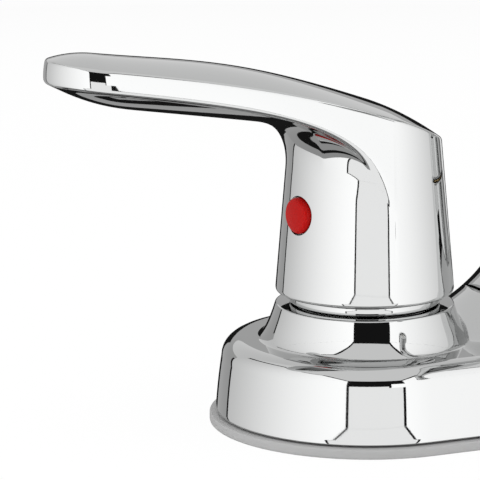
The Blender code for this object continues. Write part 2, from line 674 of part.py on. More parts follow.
def cove_path(place, low_edge):
    """Section of the underside in the upright plane through the stem and one outline point."""
    direction = place.normalized()
    reach = low_edge.xy.length
    root = body_radius(low_edge.z)
    corner_height = min(belly_height(direction.x * root, direction.y * root), low_edge.z)
    corner = Vector((body_radius(corner_height), corner_height))
    start_height = corner_height - COVE_LEG
    start = Vector((body_radius(start_height), start_height))
    leave = min(corner.x + COVE_LEG, reach)
    path = []
    for i in range(PATH_SAMPLES):
        t = i / PATH_SAMPLES
        end = Vector((leave, belly_height(direction.x * leave, direction.y * leave)))
        if leave == reach:
            end = Vector((reach, low_edge.z))
        path.append(start.lerp(corner, t).lerp(corner.lerp(end, t), t))
    for i in range(PATH_SAMPLES):
        radius = leave + (reach - leave) * i / PATH_SAMPLES
        path.append(Vector((radius, belly_height(direction.x * radius, direction.y * radius))))
    path.append(Vector((reach, low_edge.z)))
    return [Vector((direction.x * p.x, direction.y * p.x, p.y)) for p in path]


def band_middle(top, low_edge, outward, spine):
    """Point half-way down the side band, which swells outwards along the lever."""
    swell = BAND_SWELL * min(2 * spine / NOSE_REACH, 1.0)
    return top.lerp(low_edge, 0.5) + outward * swell


def straight_path(rim, low_edge):
    """Section of the plain body wall below the band."""
    return [rim.lerp(low_edge, WALL_SHARE), low_edge]


def spaced(path, stations):
    """Points along a path at given shares of its length."""
    points = np.array([tuple(p) for p in path])
    steps = np.linalg.norm(np.diff(points, axis=0), axis=1)
    travelled = np.concatenate([[0.0], np.cumsum(steps)]) / steps.sum()
    return [tuple(np.interp(station, travelled, points[:, axis]) for axis in range(3))
            for station in stations]


def handle_meridian(place, angle, spine):
    """One line over the handle's skin, from the lower rim to the middle of the top."""
    top = Vector((place.x, place.y, edge_height(place.x)))
    band = band_height(place.x)
    outward = Vector((math.cos(angle), math.sin(angle), 0))
    direction = place.normalized()
    rim = Vector((direction.x * RIM_RADIUS, direction.y * RIM_RADIUS, RIM_HEIGHT))
    if spine > 0:
        low_edge = top + outward * (body_draft() * band) - Vector((0, 0, band))
        lower = cove_path(place, low_edge)
    else:
        low_edge = top.lerp(rim, band / (top.z - rim.z))
        lower = straight_path(rim, low_edge)
    middle = band_middle(top, low_edge, outward, spine)
    points = [tuple(rim)] + spaced(lower, MERIDIAN_STATIONS) + [tuple(middle), tuple(top)]
    crown = CROWN_ENDS + (CROWN_MIDDLE - CROWN_ENDS) * math.sin(math.pi * spine / NOSE_REACH)
    for scale in DOME_RINGS:
        u = spine + (place.x - spine) * scale
        points.append((u, place.y * scale, edge_height(u) + crown * (1 - scale ** 2)))
    return points


def handle_skin(side):
    half = [handle_meridian(*station) for station in handle_outline()]
    mirrored = [[(u, -v, z) for u, v, z in meridian] for meridian in half[-2:0:-1]]
    meridians = half + mirrored
    rings = [[(side * u, v, z) for u, v, z in level] for level in zip(*meridians)]
    bm = lofted(rings)
    last = bm.faces[:][-1]
    bmesh.ops.delete(bm, geom=[last], context="FACES_ONLY")
    bmesh.ops.remove_doubles(bm, verts=bm.verts, dist=WELD)
    return bm


def button_direction(side):
    return Vector((side * math.cos(BUTTON_TURN), -math.sin(BUTTON_TURN), 0))


def make_handle(name, side, pivot, finishes):
    """Hollow lever handle with a stem socket, and a rib that carries the set screw."""
    handle = add_part(name + "_handle", handle_skin(side), finishes["chrome"], parent=pivot)
    out = button_direction(side)
    level = (0, 0, BUTTON_HEIGHT)
    face = body_radius(BUTTON_HEIGHT)
    core_outline = [
        (0, RIM_HEIGHT - MM), (RIM_RADIUS - HANDLE_WALL, RIM_HEIGHT - MM),
        (body_radius(HANDLE_CORE_TOP) - HANDLE_WALL, HANDLE_CORE_TOP), (BOSS_RADIUS, HANDLE_CORE_TOP),
        (BOSS_RADIUS, BOSS_BOTTOM), (0, BOSS_BOTTOM),
    ]
    core = add_part("core", turned(core_outline, ROUND_STEPS), None, parent=pivot)
    rib_radius = BUTTON_RADIUS + CLEARANCE + RIB_WALL
    cut(core, aim(cylinder(rib_radius, BOSS_RADIUS - MM, face), out, level))
    core_mesh = bmesh.new()
    core_mesh.from_mesh(core.data)
    bpy.data.objects.remove(core, do_unlink=True)
    cut(handle, core_mesh)
    cut(handle, cylinder(STEM_RADIUS + CLEARANCE, BOSS_BOTTOM - MM, STEM_SOCKET_TOP))
    seat = face - BUTTON_DEPTH - CLEARANCE
    cut(handle, aim(cylinder(BUTTON_RADIUS + CLEARANCE, seat, face + 2 * MM), out, level))
    cut(handle, aim(cylinder(SCREW_RADIUS + CLEARANCE, STEM_RADIUS - MM, seat + MM), out, level))

    length = BUTTON_DEPTH + BUTTON_PROUD
    button_outline = [(0, 0), (BUTTON_RADIUS, 0)]
    for i in range(4):
        angle = math.pi / 2 * i / 3
        button_outline.append((BUTTON_RADIUS - BUTTON_ROUNDING * (1 - math.cos(angle)),
                               length - BUTTON_ROUNDING * (1 - math.sin(angle))))
    button_outline.append((0, length))
    colour = finishes["red"] if name == "hot" else finishes["blue"]
    origin = Vector(level) + out * (face - BUTTON_DEPTH)
    add_part(name + "_index_button", aim(turned(button_outline), out, origin), colour, parent=pivot)

    tip = STEM_RADIUS + CLEARANCE
    head = seat - CLEARANCE
    screw = add_part(name + "_set_screw", aim(cylinder(SCREW_RADIUS, tip, head), out, level),
                     finishes["steel"], parent=pivot)
    key = prism(hexagon(SCREW_RADIUS - SCREW_KEY_WALL), head - SCREW_KEY_DEPTH, head + MM)
    cut(screw, aim(key, out, level))


def make_pivot(name, location):
    """Empty on a turning axis that carries the pieces turning with it."""
    pivot = bpy.data.objects.new(name, None)
    bpy.context.scene.collection.objects.link(pivot)
    pivot.location = location
    bpy.context.view_layer.update()
    return pivot


def bend_points(before, corner, after, radius):
    """Round a corner of the spout's centre line with an arc; gives points and directions."""
    into = (corner - before).normalized()
    out = (after - corner).normalized()
    turn = into.angle(out)
    setback = radius * math.tan(turn / 2)
    start = corner - into * setback
    towards = (out - into * into.dot(out)).normalized()
    centre = start + towards * radius
    arc = []
    for i in range(BEND_STEPS + 1):
        angle = turn * i / BEND_STEPS
        point = centre - towards * radius * math.cos(angle) + into * radius * math.sin(angle)
        arc.append((point, into * math.cos(angle) + towards * math.sin(angle)))
    return arc


def spout_corners():
    """Lower end, knee, crest and outlet end of the spout's centre line."""
    low = FOOT_FLANGE_TOP + CLEARANCE
    knee = low + SPOUT_RISER + SPOUT_BEND * math.tan((math.pi / 2 - SPOUT_PITCH) / 2)
    crest = knee + SPOUT_REACH * math.tan(SPOUT_PITCH)
    end = crest - SPOUT_BEND * math.tan((math.pi / 2 + SPOUT_PITCH) / 2) - SPOUT_OUTLET
    return (Vector((0, 0, low)), Vector((0, 0, knee)), Vector((0, -SPOUT_REACH, crest)),
            Vector((0, -SPOUT_REACH, end)))


def spout_line():
    """Centre line of the spout: up from the hub, forward and down to the outlet."""
    low, knee, crest, end = spout_corners()
    down = Vector((0, 0, -1))
    return ([(low, -down)] + bend_points(low, knee, crest, SPOUT_BEND)
            + bend_points(knee, crest, end, SPOUT_BEND) + [(end, down)])


def make_spout_tube(pivot, finish):
    sideways = Vector((1, 0, 0))
    line = spout_line()

    def section(point, direction, radius):
        upright = direction.cross(sideways)
        angles = [math.tau * i / SMALL_STEPS for i in range(SMALL_STEPS)]
        return [point + sideways * radius * math.cos(a) + upright * radius * math.sin(a) for a in angles]

    rings = [section(point, direction, SPOUT_RADIUS) for point, direction in line]
    rings += [section(point, direction, SPOUT_BORE) for point, direction in reversed(line)]
    bm = bmesh.new()
    loops = [[bm.verts.new(point) for point in points] for points in rings]
    for low, high in zip(loops, loops[1:] + loops[:1]):
        for i, point in enumerate(low):
            j = (i + 1) % len(low)
            bm.faces.new((point, low[j], high[j], high[i]))
    add_part("spout_tube", bm, finish, parent=pivot)


def make_spout(pivot, finishes):
    make_spout_tube(pivot, finishes["chrome"])
    shaft = SPOUT_RADIUS + CLEARANCE / 2
    seat = COLLAR_TOP + CLEARANCE
    flange_top = FOOT_FLANGE_TOP
    groove = shaft - O_RING_SECTION
    half = O_RING_SECTION / 2 + CLEARANCE
    outline = [(TEE_PASSAGE, WELL_FLOOR + CLEARANCE), (shaft, WELL_FLOOR + CLEARANCE)]
    for height in O_RING_HEIGHTS.values():
        outline += [(shaft, height - half), (groove, height - half), (groove, height + half),
                    (shaft, height + half)]
    outline += [
        (shaft, seat), (FOOT_FLANGE_RADIUS, seat), (FOOT_FLANGE_RADIUS, flange_top),
        (SPOUT_BORE - CLEARANCE, flange_top), (SPOUT_BORE - CLEARANCE, flange_top + FOOT_SPIGOT),
        (TEE_PASSAGE, flange_top + FOOT_SPIGOT),
    ]
    add_part("spout_foot", turned(outline, ROUND_STEPS), finishes["brass"], parent=pivot)
    section = (O_RING_SECTION - CLEARANCE / 2) / 2
    for name, height in O_RING_HEIGHTS.items():
        centre = groove + CLEARANCE / 2 + section
        add_part(name, torus(centre, section, height), finishes["rubber"], parent=pivot)


def make_spout_nut(finishes):
    wear_low = FOOT_FLANGE_TOP + CLEARANCE
    wear_top = wear_low + WEAR_RING
    throat = SPOUT_RADIUS + CLEARANCE
    bore = COLLAR_RADIUS + CLEARANCE
    add_part("spout_wear_ring", ring(bore - CLEARANCE, throat, wear_low, wear_top, ROUND_STEPS),
             finishes["plastic"])
    low = HUB_TOP + CLEARANCE
    lip = wear_top + CLEARANCE
    top = lip + SPOUT_NUT_LIP
    radius = bore + SPOUT_NUT_WALL
    bevel = SPOUT_NUT_BEVEL
    outline = [
        (bore, low), (radius - bevel / 2, low), (radius, low + bevel / 2), (radius, top - 2 * bevel),
        (radius - bevel / 2, top - bevel), (radius - 2 * bevel, top), (throat, top), (throat, lip),
        (bore, lip),
    ]
    add_part("spout_nut", turned(outline, ROUND_STEPS), finishes["chrome"])


def make_aerator(pivot, finishes):
    """Outlet ring under the spout's end, with its screen and washer."""
    tube_bore = SPOUT_RADIUS + CLEARANCE
    insert_bore = tube_bore + AERATOR_STEP
    lip_bore = insert_bore - AERATOR_LIP_REACH
    radius = tube_bore + AERATOR_WALL
    tube_end = spout_corners()[-1].z
    washer_top = tube_end - CLEARANCE
    washer_low = washer_top - AERATOR_WASHER
    insert_top = washer_low - CLEARANCE
    insert_low = insert_top - AERATOR_INSERT
    lip_top = insert_low - CLEARANCE
    low = lip_top - AERATOR_LIP
    top = tube_end + SPOUT_OUTLET - AERATOR_MARGIN
    bevel = AERATOR_BEVEL
    outline = [
        (lip_bore, low), (radius - bevel, low), (radius, low + bevel), (radius, top - bevel),
        (radius - bevel, top), (tube_bore, top), (tube_bore, washer_top), (insert_bore, washer_top),
        (insert_bore, lip_top), (lip_bore, lip_top),
    ]
    outlet = (0, -SPOUT_REACH, 0)
    add_part("aerator_housing", turned(outline), finishes["chrome"], outlet, pivot)
    fit = insert_bore - CLEARANCE
    add_part("aerator_screen", cylinder(fit, insert_low, insert_top), finishes["plastic"], outlet, pivot)
    washer = ring(fit, SPOUT_BORE - AERATOR_WASHER_REACH, washer_low, washer_top)
    add_part("aerator_washer", washer, finishes["rubber"], outlet, pivot)


def build():
    clear_scene()
    finishes = make_finishes()
    make_gasket(finishes)
    make_base(finishes)
    make_tee(finishes)
    for name, side in SIDES.items():
        pivot = make_pivot(name + "_handle_axis", (side * VALVE_OFFSET, 0, 0))
        make_valve_body(name + "_valve_body", side, finishes["brass"])
        make_crossover(name + "_crossover_tube", side, finishes["copper"])
        make_fixings(name, side, finishes)
        make_bonnet_nut(name + "_bonnet_nut", side, finishes["chrome"])
        make_cartridge(name, side, pivot, finishes)
        make_handle(name, side, pivot, finishes)
    spout_pivot = make_pivot("spout_axis", (0, 0, 0))
    make_spout(spout_pivot, finishes)
    make_spout_nut(finishes)
    make_aerator(spout_pivot, finishes)


build()
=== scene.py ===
import math

import bmesh
import bpy
import numpy as np
from bpy.props import FloatProperty, FloatVectorProperty, IntProperty, PointerProperty
from mathutils import Matrix, Vector


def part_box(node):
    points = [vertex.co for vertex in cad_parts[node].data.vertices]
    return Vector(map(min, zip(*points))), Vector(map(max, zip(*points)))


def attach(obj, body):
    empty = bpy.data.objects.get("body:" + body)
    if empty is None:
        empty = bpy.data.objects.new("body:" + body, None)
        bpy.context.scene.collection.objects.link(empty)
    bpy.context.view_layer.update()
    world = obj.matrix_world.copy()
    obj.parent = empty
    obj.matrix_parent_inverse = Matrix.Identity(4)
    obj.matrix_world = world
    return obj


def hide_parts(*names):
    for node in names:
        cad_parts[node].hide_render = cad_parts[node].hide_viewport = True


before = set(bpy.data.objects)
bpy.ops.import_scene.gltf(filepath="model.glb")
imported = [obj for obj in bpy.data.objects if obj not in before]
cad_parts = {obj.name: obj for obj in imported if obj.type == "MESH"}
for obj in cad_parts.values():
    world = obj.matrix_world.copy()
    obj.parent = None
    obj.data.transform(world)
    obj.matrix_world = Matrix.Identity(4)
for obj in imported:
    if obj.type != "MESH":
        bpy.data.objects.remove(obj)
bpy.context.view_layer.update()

bl_info = {
    "name": "Two-lever faucet",
    "version": (1, 0, 0),
    "blender": (4, 5, 0),
    "location": "View3D > Sidebar > Faucet",
    "description": "Smooth, finished pieces and procedural surfaces for a two-lever sink faucet",
    "category": "Object",
}

MM = 0.001
WELD = 0.001 * MM
ROUNDED_SHARE = 0.45
SIDES = {"hot": -1, "cold": 1}
BODY = "deck_unit"
FIXED = {"hot": BODY, "cold": BODY}
LEVER_BODY = {"hot": "hot_lever", "cold": "cold_lever"}
SPOUT_BODY = "swing_spout"


def round_node(node):
    """Radius, lowest and highest point of an upright round node."""
    low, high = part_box(node)
    return (high.y - low.y) / 2, low.z, high.z


# Sizes taken from the frame
VALVE_OFFSET = -sum(corner.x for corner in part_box("hot_fixing_washer")) / 2
GASKET_RADIUS, GASKET_BOTTOM, GASKET_TOP = round_node("deck_gasket")
BASE_RADIUS, BASE_BOTTOM, HUB_TOP = round_node("base_casting")
BONNET_RADIUS, BONNET_BOTTOM, BONNET_TOP = round_node("hot_bonnet_nut")
SPOUT_NUT_RADIUS, SPOUT_NUT_BOTTOM, SPOUT_NUT_TOP = round_node("spout_nut")
AERATOR_RADIUS, AERATOR_BOTTOM, AERATOR_TOP = round_node("aerator_housing")
SCREEN_RADIUS, SCREEN_BOTTOM, SCREEN_TOP = round_node("aerator_screen")
WASHER_RADIUS, WASHER_BOTTOM, WASHER_TOP = round_node("hot_fixing_washer")
SHANK_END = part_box("hot_valve_body")[0].z
NUT_BOTTOM, NUT_TOP = (corner.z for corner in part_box("hot_lock_nut"))
RIM_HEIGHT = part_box("hot_handle")[0].z

# Base casting
BASE_DRAFT = 1.1 * MM
WALL_BULGE = 0.45
WALL_TOP = 12.8 * MM
SHOULDER = 3.8 * MM
BASE_TOP = WALL_TOP + SHOULDER
BASE_WALL = 2.8 * MM
BASE_CEILING = 14.4 * MM
PLATEAU_RADIUS = BASE_RADIUS - BASE_DRAFT - SHOULDER
NECK_RADIUS = 17.2 * MM
NECK_BORE = 14.0 * MM
NECK_TOP = 23.4 * MM
NECK_TILT = math.radians(17.5)
# Corners of a neck's outline, in millimetres out from its top edge and up from the base top
NECK_PROFILE = ((0.0, 6.8), (0.72, 4.5), (1.55, 2.4), (2.35, 1.0), (3.15, 0.0), (4.1, 0.0), (5.0, 0.0))
HUB_RADIUS = 17.0 * MM
HUB_BORE = 12.5 * MM
HUB_RISE = HUB_TOP - BASE_TOP
HUB_REACH_ALONG = 41.0 * MM
HUB_REACH_ACROSS = 23.6 * MM
HUB_FLARE_POWER = 2.4
HUB_RISE_POWER = 1.25
PATCH_SPLIT = 25.5 * MM
BLEND_POWER = 2.6
FOOT_CORNER = ((0.1 * MM, 0.15 * MM), (0.4 * MM, 0.0))
HUB_SEARCH_STEPS = 40
CORNER_RAYS = 24
END_RAYS = 40
EDGE_RINGS = 5
TOP_RINGS = 46
NECK_SPACING = 1.4
HUB_SPACING = 2.3
SHOULDER_RINGS = 8
WALL_RINGS = 20

# Lever handle
RIM_RADIUS = 17.25 * MM
RIM_ROUNDING = 1.0 * MM
BODY_HEIGHT = 35.2 * MM
EDGE_AT_AXIS = RIM_HEIGHT + BODY_HEIGHT
SHOULDER_RADIUS = 14.45 * MM
BODY_DRAFT = (RIM_RADIUS - SHOULDER_RADIUS) / BODY_HEIGHT
EDGE_LIFT = 7.5 * MM
EDGE_LIFT_LENGTH = 30.0 * MM
EDGE_SLOPE = 0.103
BAND_DROP = 13.5 * MM
BAND_DROP_LENGTH = 7.0 * MM
BAND_SWELL = 0.15 * MM
BELLY_DEPTH = 4.1 * MM
BELLY_SLOPE = 0.152
BELLY_ROUNDNESS = 1.6
NOSE_RUN = 8.0 * MM
BLEND_GROWTH = 4.5 * MM
BLEND_LENGTH = 4.5 * MM
COVE_LEG = 9.0 * MM
BACK_WALL_SHARE = 0.4
HANDLE_WALL = 2.4 * MM
CORE_TOP = 47.0 * MM
BOSS_RADIUS = 6.0 * MM
BOSS_BOTTOM = 34.5 * MM
STEM_SOCKET_RADIUS = 3.8 * MM
STEM_SOCKET_TOP = 50.0 * MM
BACK_STATIONS = 40
SIDE_STATIONS = 64
SIDE_SPACING_POWER = 1.6
NOSE_STATIONS = 28
LOWER_RINGS = 34
BAND_RINGS = 12
CROWN_RINGS = 22
ROUNDING_RINGS = 5
PATH_SAMPLES = 40

# Index button and its pocket
BUTTON_HEIGHT = 42.0 * MM
BUTTON_TURN = math.radians(11.0)
BUTTON_PROUD = 1.0 * MM
BUTTON_DEPTH = 2.7 * MM
BUTTON_EDGE = 0.8 * MM
BUTTON_DOME = 0.2 * MM
POCKET_GAP = 0.3 * MM
SCREW_HOLE = 2.8 * MM
RIB_WALL = 0.85 * MM

# Spout
SPOUT_LOW = 54.3 * MM
SPOUT_RISER = 29.4 * MM
SPOUT_OUTLET = 9.0 * MM

# Valve body and fixings
SHANK_HOLE = 10.5 * MM
VALVE_RADIUS = 12.4 * MM
VALVE_BORE = 9.9 * MM
VALVE_FLANGE = 3.0 * MM
VALVE_FLANGE_RADIUS = 14.5 * MM
VALVE_TOP = 23.0 * MM
INLET_RADIUS = 5.5 * MM
SEAT_FLOOR = -1.0 * MM
PORT_HEIGHT = 8.3 * MM
PORT_RADIUS = 5.8 * MM
PORT_REACH = 18.0 * MM
PORT_SOCKET = 4.3 * MM
PORT_BORE = 3.0 * MM
PORT_STOP = 14.0 * MM
LOCK_NUT_RADIUS = 15.6 * MM
THREAD_CREST = 10.2 * MM
THREAD_TOP = -2.0 * MM
RINGS_PER_TURN = 6
THREAD_FLANK = 1.25

# Camera at the photograph's viewing angle
CAMERA_PLACE = (-0.320528, -0.546809, 0.163226)
CAMERA_TILT = math.pi / 2 - 0.206809
CAMERA_TURN = -0.418879
CAMERA_LENS = 243.18

# Studio: the softboxes are brightest a little right of the camera
SOFTBOX_TURN = math.radians(3.0)
CARD_BOTTOM = -0.55
FLARE_BOTTOM = -0.092
FLARE_TOP = -0.047
GAP_TOP = 0.075
SOFTBOX_TOP = 0.36
FRAME_TOP = 0.40
DARK_GLOW = 0.012
LAMP_PLACE = (-0.3, -0.2, 0.9)
LAMP_SIZE = 0.6
LAMP_POWER = 2.5
FLOOR_SIZE = 8.0
WHITE = (1.0, 1.0, 1.0, 1.0)
PALE = (0.95, 0.95, 0.95, 1.0)


def length_setting(name, description, default, least):
    """Length property; its default and least value are given in millimetres."""
    return FloatProperty(name=name, description=description, default=default * MM, min=least * MM,
                         unit="LENGTH", precision=4)


def colour_setting(name, description, default):
    """Colour property."""
    return FloatVectorProperty(name=name, description=description, default=default,
                               min=0.0, max=1.0, subtype="COLOR")


def strength_setting(name, description, default):
    """Strength of a light or a glowing card."""
    return FloatProperty(name=name, description=description, default=default, min=0.0)


class LeverSettings(bpy.types.PropertyGroup):
    """Sizes of the two lever handles."""

    reach: length_setting("Reach", "Distance from the stem to the middle of the nose", 55.0, 20)
    nose_radius: length_setting("Nose radius", "Radius of the lever's round end", 9.4, 3)
    band: length_setting("Side band", "Height of the band along the lever's side", 4.3, 1)
    crown: length_setting("Crown", "Rise of the top face over its edge at both ends", 2.1, 0)
    crown_swell: length_setting("Crown swell", "Extra rise half-way along the lever", 0.7, 0)
    top_rounding: length_setting("Top edge rounding", "Rounding of the top edge", 0.55, 0.1)
    low_rounding: length_setting("Low edge rounding", "Rounding under the side band", 0.8, 0.1)
    button_radius: length_setting("Button radius", "Radius of the colour button", 3.45, 1)


class BaseSettings(bpy.types.PropertyGroup):
    """Sizes of the base casting and the gasket."""

    foot_blend: length_setting("Foot blend", "Softness where the hub leaves the base top", 0.25, 0.01)
    edge_rounding: length_setting("Edge rounding", "Rounding of the machined edges", 0.4, 0.05)
    gasket_rounding: length_setting("Gasket rounding", "Rounding of the gasket's edges", 0.35, 0.05)
    gasket_hole: length_setting("Gasket hole", "Radius of the gasket's shank holes", 11.2, 5)


class SpoutSettings(bpy.types.PropertyGroup):
    """Sizes of the swinging spout."""

    radius: length_setting("Tube radius", "Outer radius of the spout tube", 9.5, 4)
    wall: length_setting("Tube wall", "Wall thickness of the spout tube", 1.2, 0.4)
    reach: length_setting("Reach", "Distance from the hub to the outlet", 140.0, 60)
    pitch: FloatProperty(name="Pitch", description="Rise of the long stretch over the level",
                         default=math.radians(8.0), unit="ROTATION")
    bend: length_setting("Bend radius", "Radius of both bends on the centre line", 28.0, 10)
    edge_rounding: length_setting("Edge rounding", "Rounding on nut and outlet ring", 0.9, 0.05)


class FixingSettings(bpy.types.PropertyGroup):
    """Sizes of the parts under the deck."""

    thread_pitch: length_setting("Thread pitch", "Rise of the shank thread in a turn", 1.814, 0.5)
    thread_depth: length_setting("Thread depth", "Depth of the shank thread", 0.85, 0.1)
    nut_chamfer: length_setting("Nut chamfer", "Chamfer on the lock nut's corners", 1.1, 0.1)
    washer_rounding: length_setting("Washer rounding", "Rounding of the washer's edges", 0.3, 0.05)


class FinishSettings(bpy.types.PropertyGroup):
    """Colours of the finishes."""

    chrome: colour_setting("Chrome", "Colour of the polished plating", (0.53, 0.534, 0.533))
    gasket: colour_setting("Gasket", "Colour of the deck gasket", (0.38, 0.38, 0.38))
    hot: colour_setting("Hot button", "Colour of the hot side's button", (0.42, 0.006, 0.005))
    cold: colour_setting("Cold button", "Colour of the cold side's button", (0.012, 0.05, 0.40))
    brass: colour_setting("Brass", "Colour of the machined brass", (0.76, 0.55, 0.27))
    steel: colour_setting("Steel", "Colour of washers and screws", (0.58, 0.58, 0.58))


class StageSettings(bpy.types.PropertyGroup):
    """Light of the studio."""

    softbox: strength_setting("Softbox strength", "Brightness of the side softboxes", 1.28)
    falloff: strength_setting("Softbox fall-off", "Change of brightness round the softboxes", 0.62)
    back: strength_setting("Back strength", "Brightness high up behind the faucet", 0.86)
    gap: strength_setting("Gap strength", "Brightness low down between the softboxes", 1.45)
    dim: strength_setting("Dim strength", "Brightness of the dim cards behind the faucet", 0.5)
    pit: strength_setting("Pit strength", "Brightness under the faucet, for its undersides", 0.45)
    fill: strength_setting("Fill strength", "Brightness of the surroundings on matte parts", 0.75)
    floor_shade: FloatProperty(name="Floor shade", description="Share of the shadow kept on the floor",
                               default=0.06, min=0.0, max=1.0, subtype="FACTOR")
    distance: FloatProperty(name="Card distance", description="Distance of the cards from the lever",
                            default=0.6, min=0.1, unit="LENGTH")
    steps: IntProperty(name="Card steps", description="Facets on a quarter turn of a card",
                       default=24, min=4)


UP = Vector((0, 0, 1))
HALF_TURN = Matrix.Rotation(math.pi, 4, "Z")
MIRRORED = Matrix.Scale(-1, 4, Vector((1, 0, 0)))


def heading(angle):
    """Level direction at an angle from +X."""
    return Vector((math.cos(angle), math.sin(angle), 0))


def curve(start, corner, end, shares):
    """Points on the parabola from start to end that the corner pulls."""
    return [start.lerp(corner, t).lerp(corner.lerp(end, t), t) for t in shares]


def valve_axis(side):
    return (SIDES[side] * VALVE_OFFSET, 0.0)


def deselect_all():
    if bpy.context.object and bpy.context.object.mode != "OBJECT":
        bpy.ops.object.mode_set(mode="OBJECT")
    bpy.ops.object.select_all(action="DESELECT")


def select_only(piece):
    deselect_all()
    piece.select_set(True)
    bpy.context.view_layer.objects.active = piece


def named(piece, name):
    piece.name = name
    piece.data.name = name
    return piece


def place_in_mesh(piece):
    select_only(piece)
    bpy.ops.object.transform_apply(location=True, rotation=True, scale=True)


def edit_all(piece, kind="VERT"):
    """Open a piece in edit mode with all of it selected."""
    select_only(piece)
    bpy.ops.object.mode_set(mode="EDIT")
    bpy.ops.mesh.select_mode(type=kind)
    bpy.ops.mesh.select_all(action="SELECT")


def extrude(offset):
    bpy.ops.mesh.extrude_region_move(TRANSFORM_OT_translate={"value": offset})


def clean_up(piece):
    """Merge doubled vertices and turn all faces outwards, also from edit mode."""
    edit_all(piece)
    bpy.ops.mesh.remove_doubles(threshold=WELD)
    bpy.ops.mesh.normals_make_consistent(inside=False)
    bpy.ops.object.mode_set(mode="OBJECT")


def shade(piece, angle=math.radians(35)):
    select_only(piece)
    bpy.ops.object.shade_smooth_by_angle(angle=angle)


def modify(piece, kind, **settings):
    """Add a modifier to a piece and apply it."""
    modifier = piece.modifiers.new(kind.lower(), kind)
    for label, value in settings.items():
        setattr(modifier, label, value)
    select_only(piece)
    bpy.ops.object.modifier_apply(modifier=modifier.name)


def combine(piece, tool, operation):
    """Cut a tool out of a piece, join it on, or keep what both share; the tool is used up."""
    modify(piece, "BOOLEAN", operation=operation, solver="EXACT", object=tool)
    bpy.data.objects.remove(tool, do_unlink=True)
    clean_up(piece)


def new_vertex(name, point):
    """Start a piece as one vertex, open in edit mode."""
    deselect_all()
    bpy.ops.mesh.primitive_plane_add(size=MM, location=point)
    piece = named(bpy.context.object, name)
    place_in_mesh(piece)
    edit_all(piece)
    bpy.ops.mesh.merge(type="CENTER")
    return piece


def turned(name, outline, centre=(0.0, 0.0), steps=96, rounding=0.0):
    """Closed piece turned round an upright axis from an outline of (radius, height) points."""
    ring = [Vector(point) for point in outline]
    if rounding:
        ring = rounded_outline(ring, rounding)
    if outline[0][0] > 0 or outline[-1][0] > 0:
        ring.append(ring[0])
    middle = Vector((*centre, 0))
    points = [middle + Vector((point.x, 0, point.y)) for point in ring]
    piece = new_vertex(name, points[0])
    for before, after in zip(points, points[1:]):
        bpy.ops.mesh.extrude_vertices_move(TRANSFORM_OT_translate={"value": after - before})
    bpy.ops.mesh.select_all(action="SELECT")
    bpy.ops.mesh.spin(steps=steps, angle=-math.tau, center=middle, axis=UP)
    clean_up(piece)
    shade(piece)
    return piece


def rounded_outline(points, rounding):
    """Replace each corner off the axis with a small curve."""
    rounded = []
    for i, corner in enumerate(points):
        if corner.x <= 0:
            rounded.append(corner)
            continue
        back = points[i - 1] - corner
        ahead = points[(i + 1) % len(points)] - corner
        leg = min(rounding, back.length * ROUNDED_SHARE, ahead.length * ROUNDED_SHARE)
        start = corner + back.normalized() * leg
        end = corner + ahead.normalized() * leg
        rounded += curve(start, corner, end, (0.0, 0.25, 0.5, 0.75, 1.0))
    return rounded


def rod(radius, low, high, direction=(0, 0, 1), origin=(0, 0, 0), steps=64):
    """Round bar along a direction, to join on or cut away."""
    direction = Vector(direction).normalized()
    middle = Vector(origin) + direction * ((low + high) / 2)
    turn = UP.rotation_difference(direction).to_euler()
    deselect_all()
    bpy.ops.mesh.primitive_cylinder_add(vertices=steps, radius=radius, depth=high - low,
                                        location=middle, rotation=turn)
    piece = named(bpy.context.object, "tool")
    place_in_mesh(piece)
    return piece


def hex_bar(radius, low, high, centre):
    return rod(radius, low, high, origin=(*centre, 0), steps=6)


def copy_of(piece, name, transform):
    """Copy with its own mesh, turned or mirrored into place."""
    twin = piece.copy()
    twin.data = piece.data.copy()
    bpy.context.scene.collection.objects.link(twin)
    named(twin, name)
    twin.data.transform(transform)
    if transform.determinant() < 0:
        twin.data.flip_normals()
    return twin


def dress(piece, body, nodes, finish):
    """Give a finished piece its material and tie it to the frame."""
    piece.data.materials.clear()
    piece.data.materials.append(bpy.data.materials[finish])
    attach(piece, body)
    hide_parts(*nodes)


def dress_pair(piece, twin_name, transform, node, finish, bodies=FIXED):
    """Dress the hot side's piece, and a copy of it for the cold side."""
    twin = copy_of(piece, twin_name, transform)
    for side, half in (("hot", piece), ("cold", twin)):
        dress(half, bodies[side], [side + "_" + node], finish)


# Materials
def feed(tree, node, inputs):
    """Give a node's inputs plain values, or link them to other nodes' outputs."""
    for socket, value in inputs.items():
        if isinstance(value, bpy.types.NodeSocket):
            tree.links.new(value, node.inputs[socket])
        else:
            node.inputs[socket].default_value = value


def add_node(tree, kind, inputs=None, **settings):
    node = tree.nodes.new("ShaderNode" + kind)
    for label, value in settings.items():
        setattr(node, label, value)
    feed(tree, node, inputs or {})
    return node


def new_group(name, inputs, output, kind="NodeSocketFloat"):
    """Shader node group, the values that it is given and the node that takes its result."""
    group = bpy.data.node_groups.new(name, "ShaderNodeTree")
    for label, default in inputs.items():
        given = "NodeSocketColor" if isinstance(default, tuple) else "NodeSocketFloat"
        group.interface.new_socket(name=label, in_out="INPUT", socket_type=given).default_value = default
    group.interface.new_socket(name=output, in_out="OUTPUT", socket_type=kind)
    values = group.nodes.new("NodeGroupInput").outputs
    return group, values, group.nodes.new("NodeGroupOutput")


def add_noise(group, scale, detail):
    """Noise on Object coordinates."""
    place = add_node(group, "TexCoord").outputs["Object"]
    return add_node(group, "TexNoise", {"Vector": place, "Scale": scale, "Detail": detail}).outputs["Fac"]


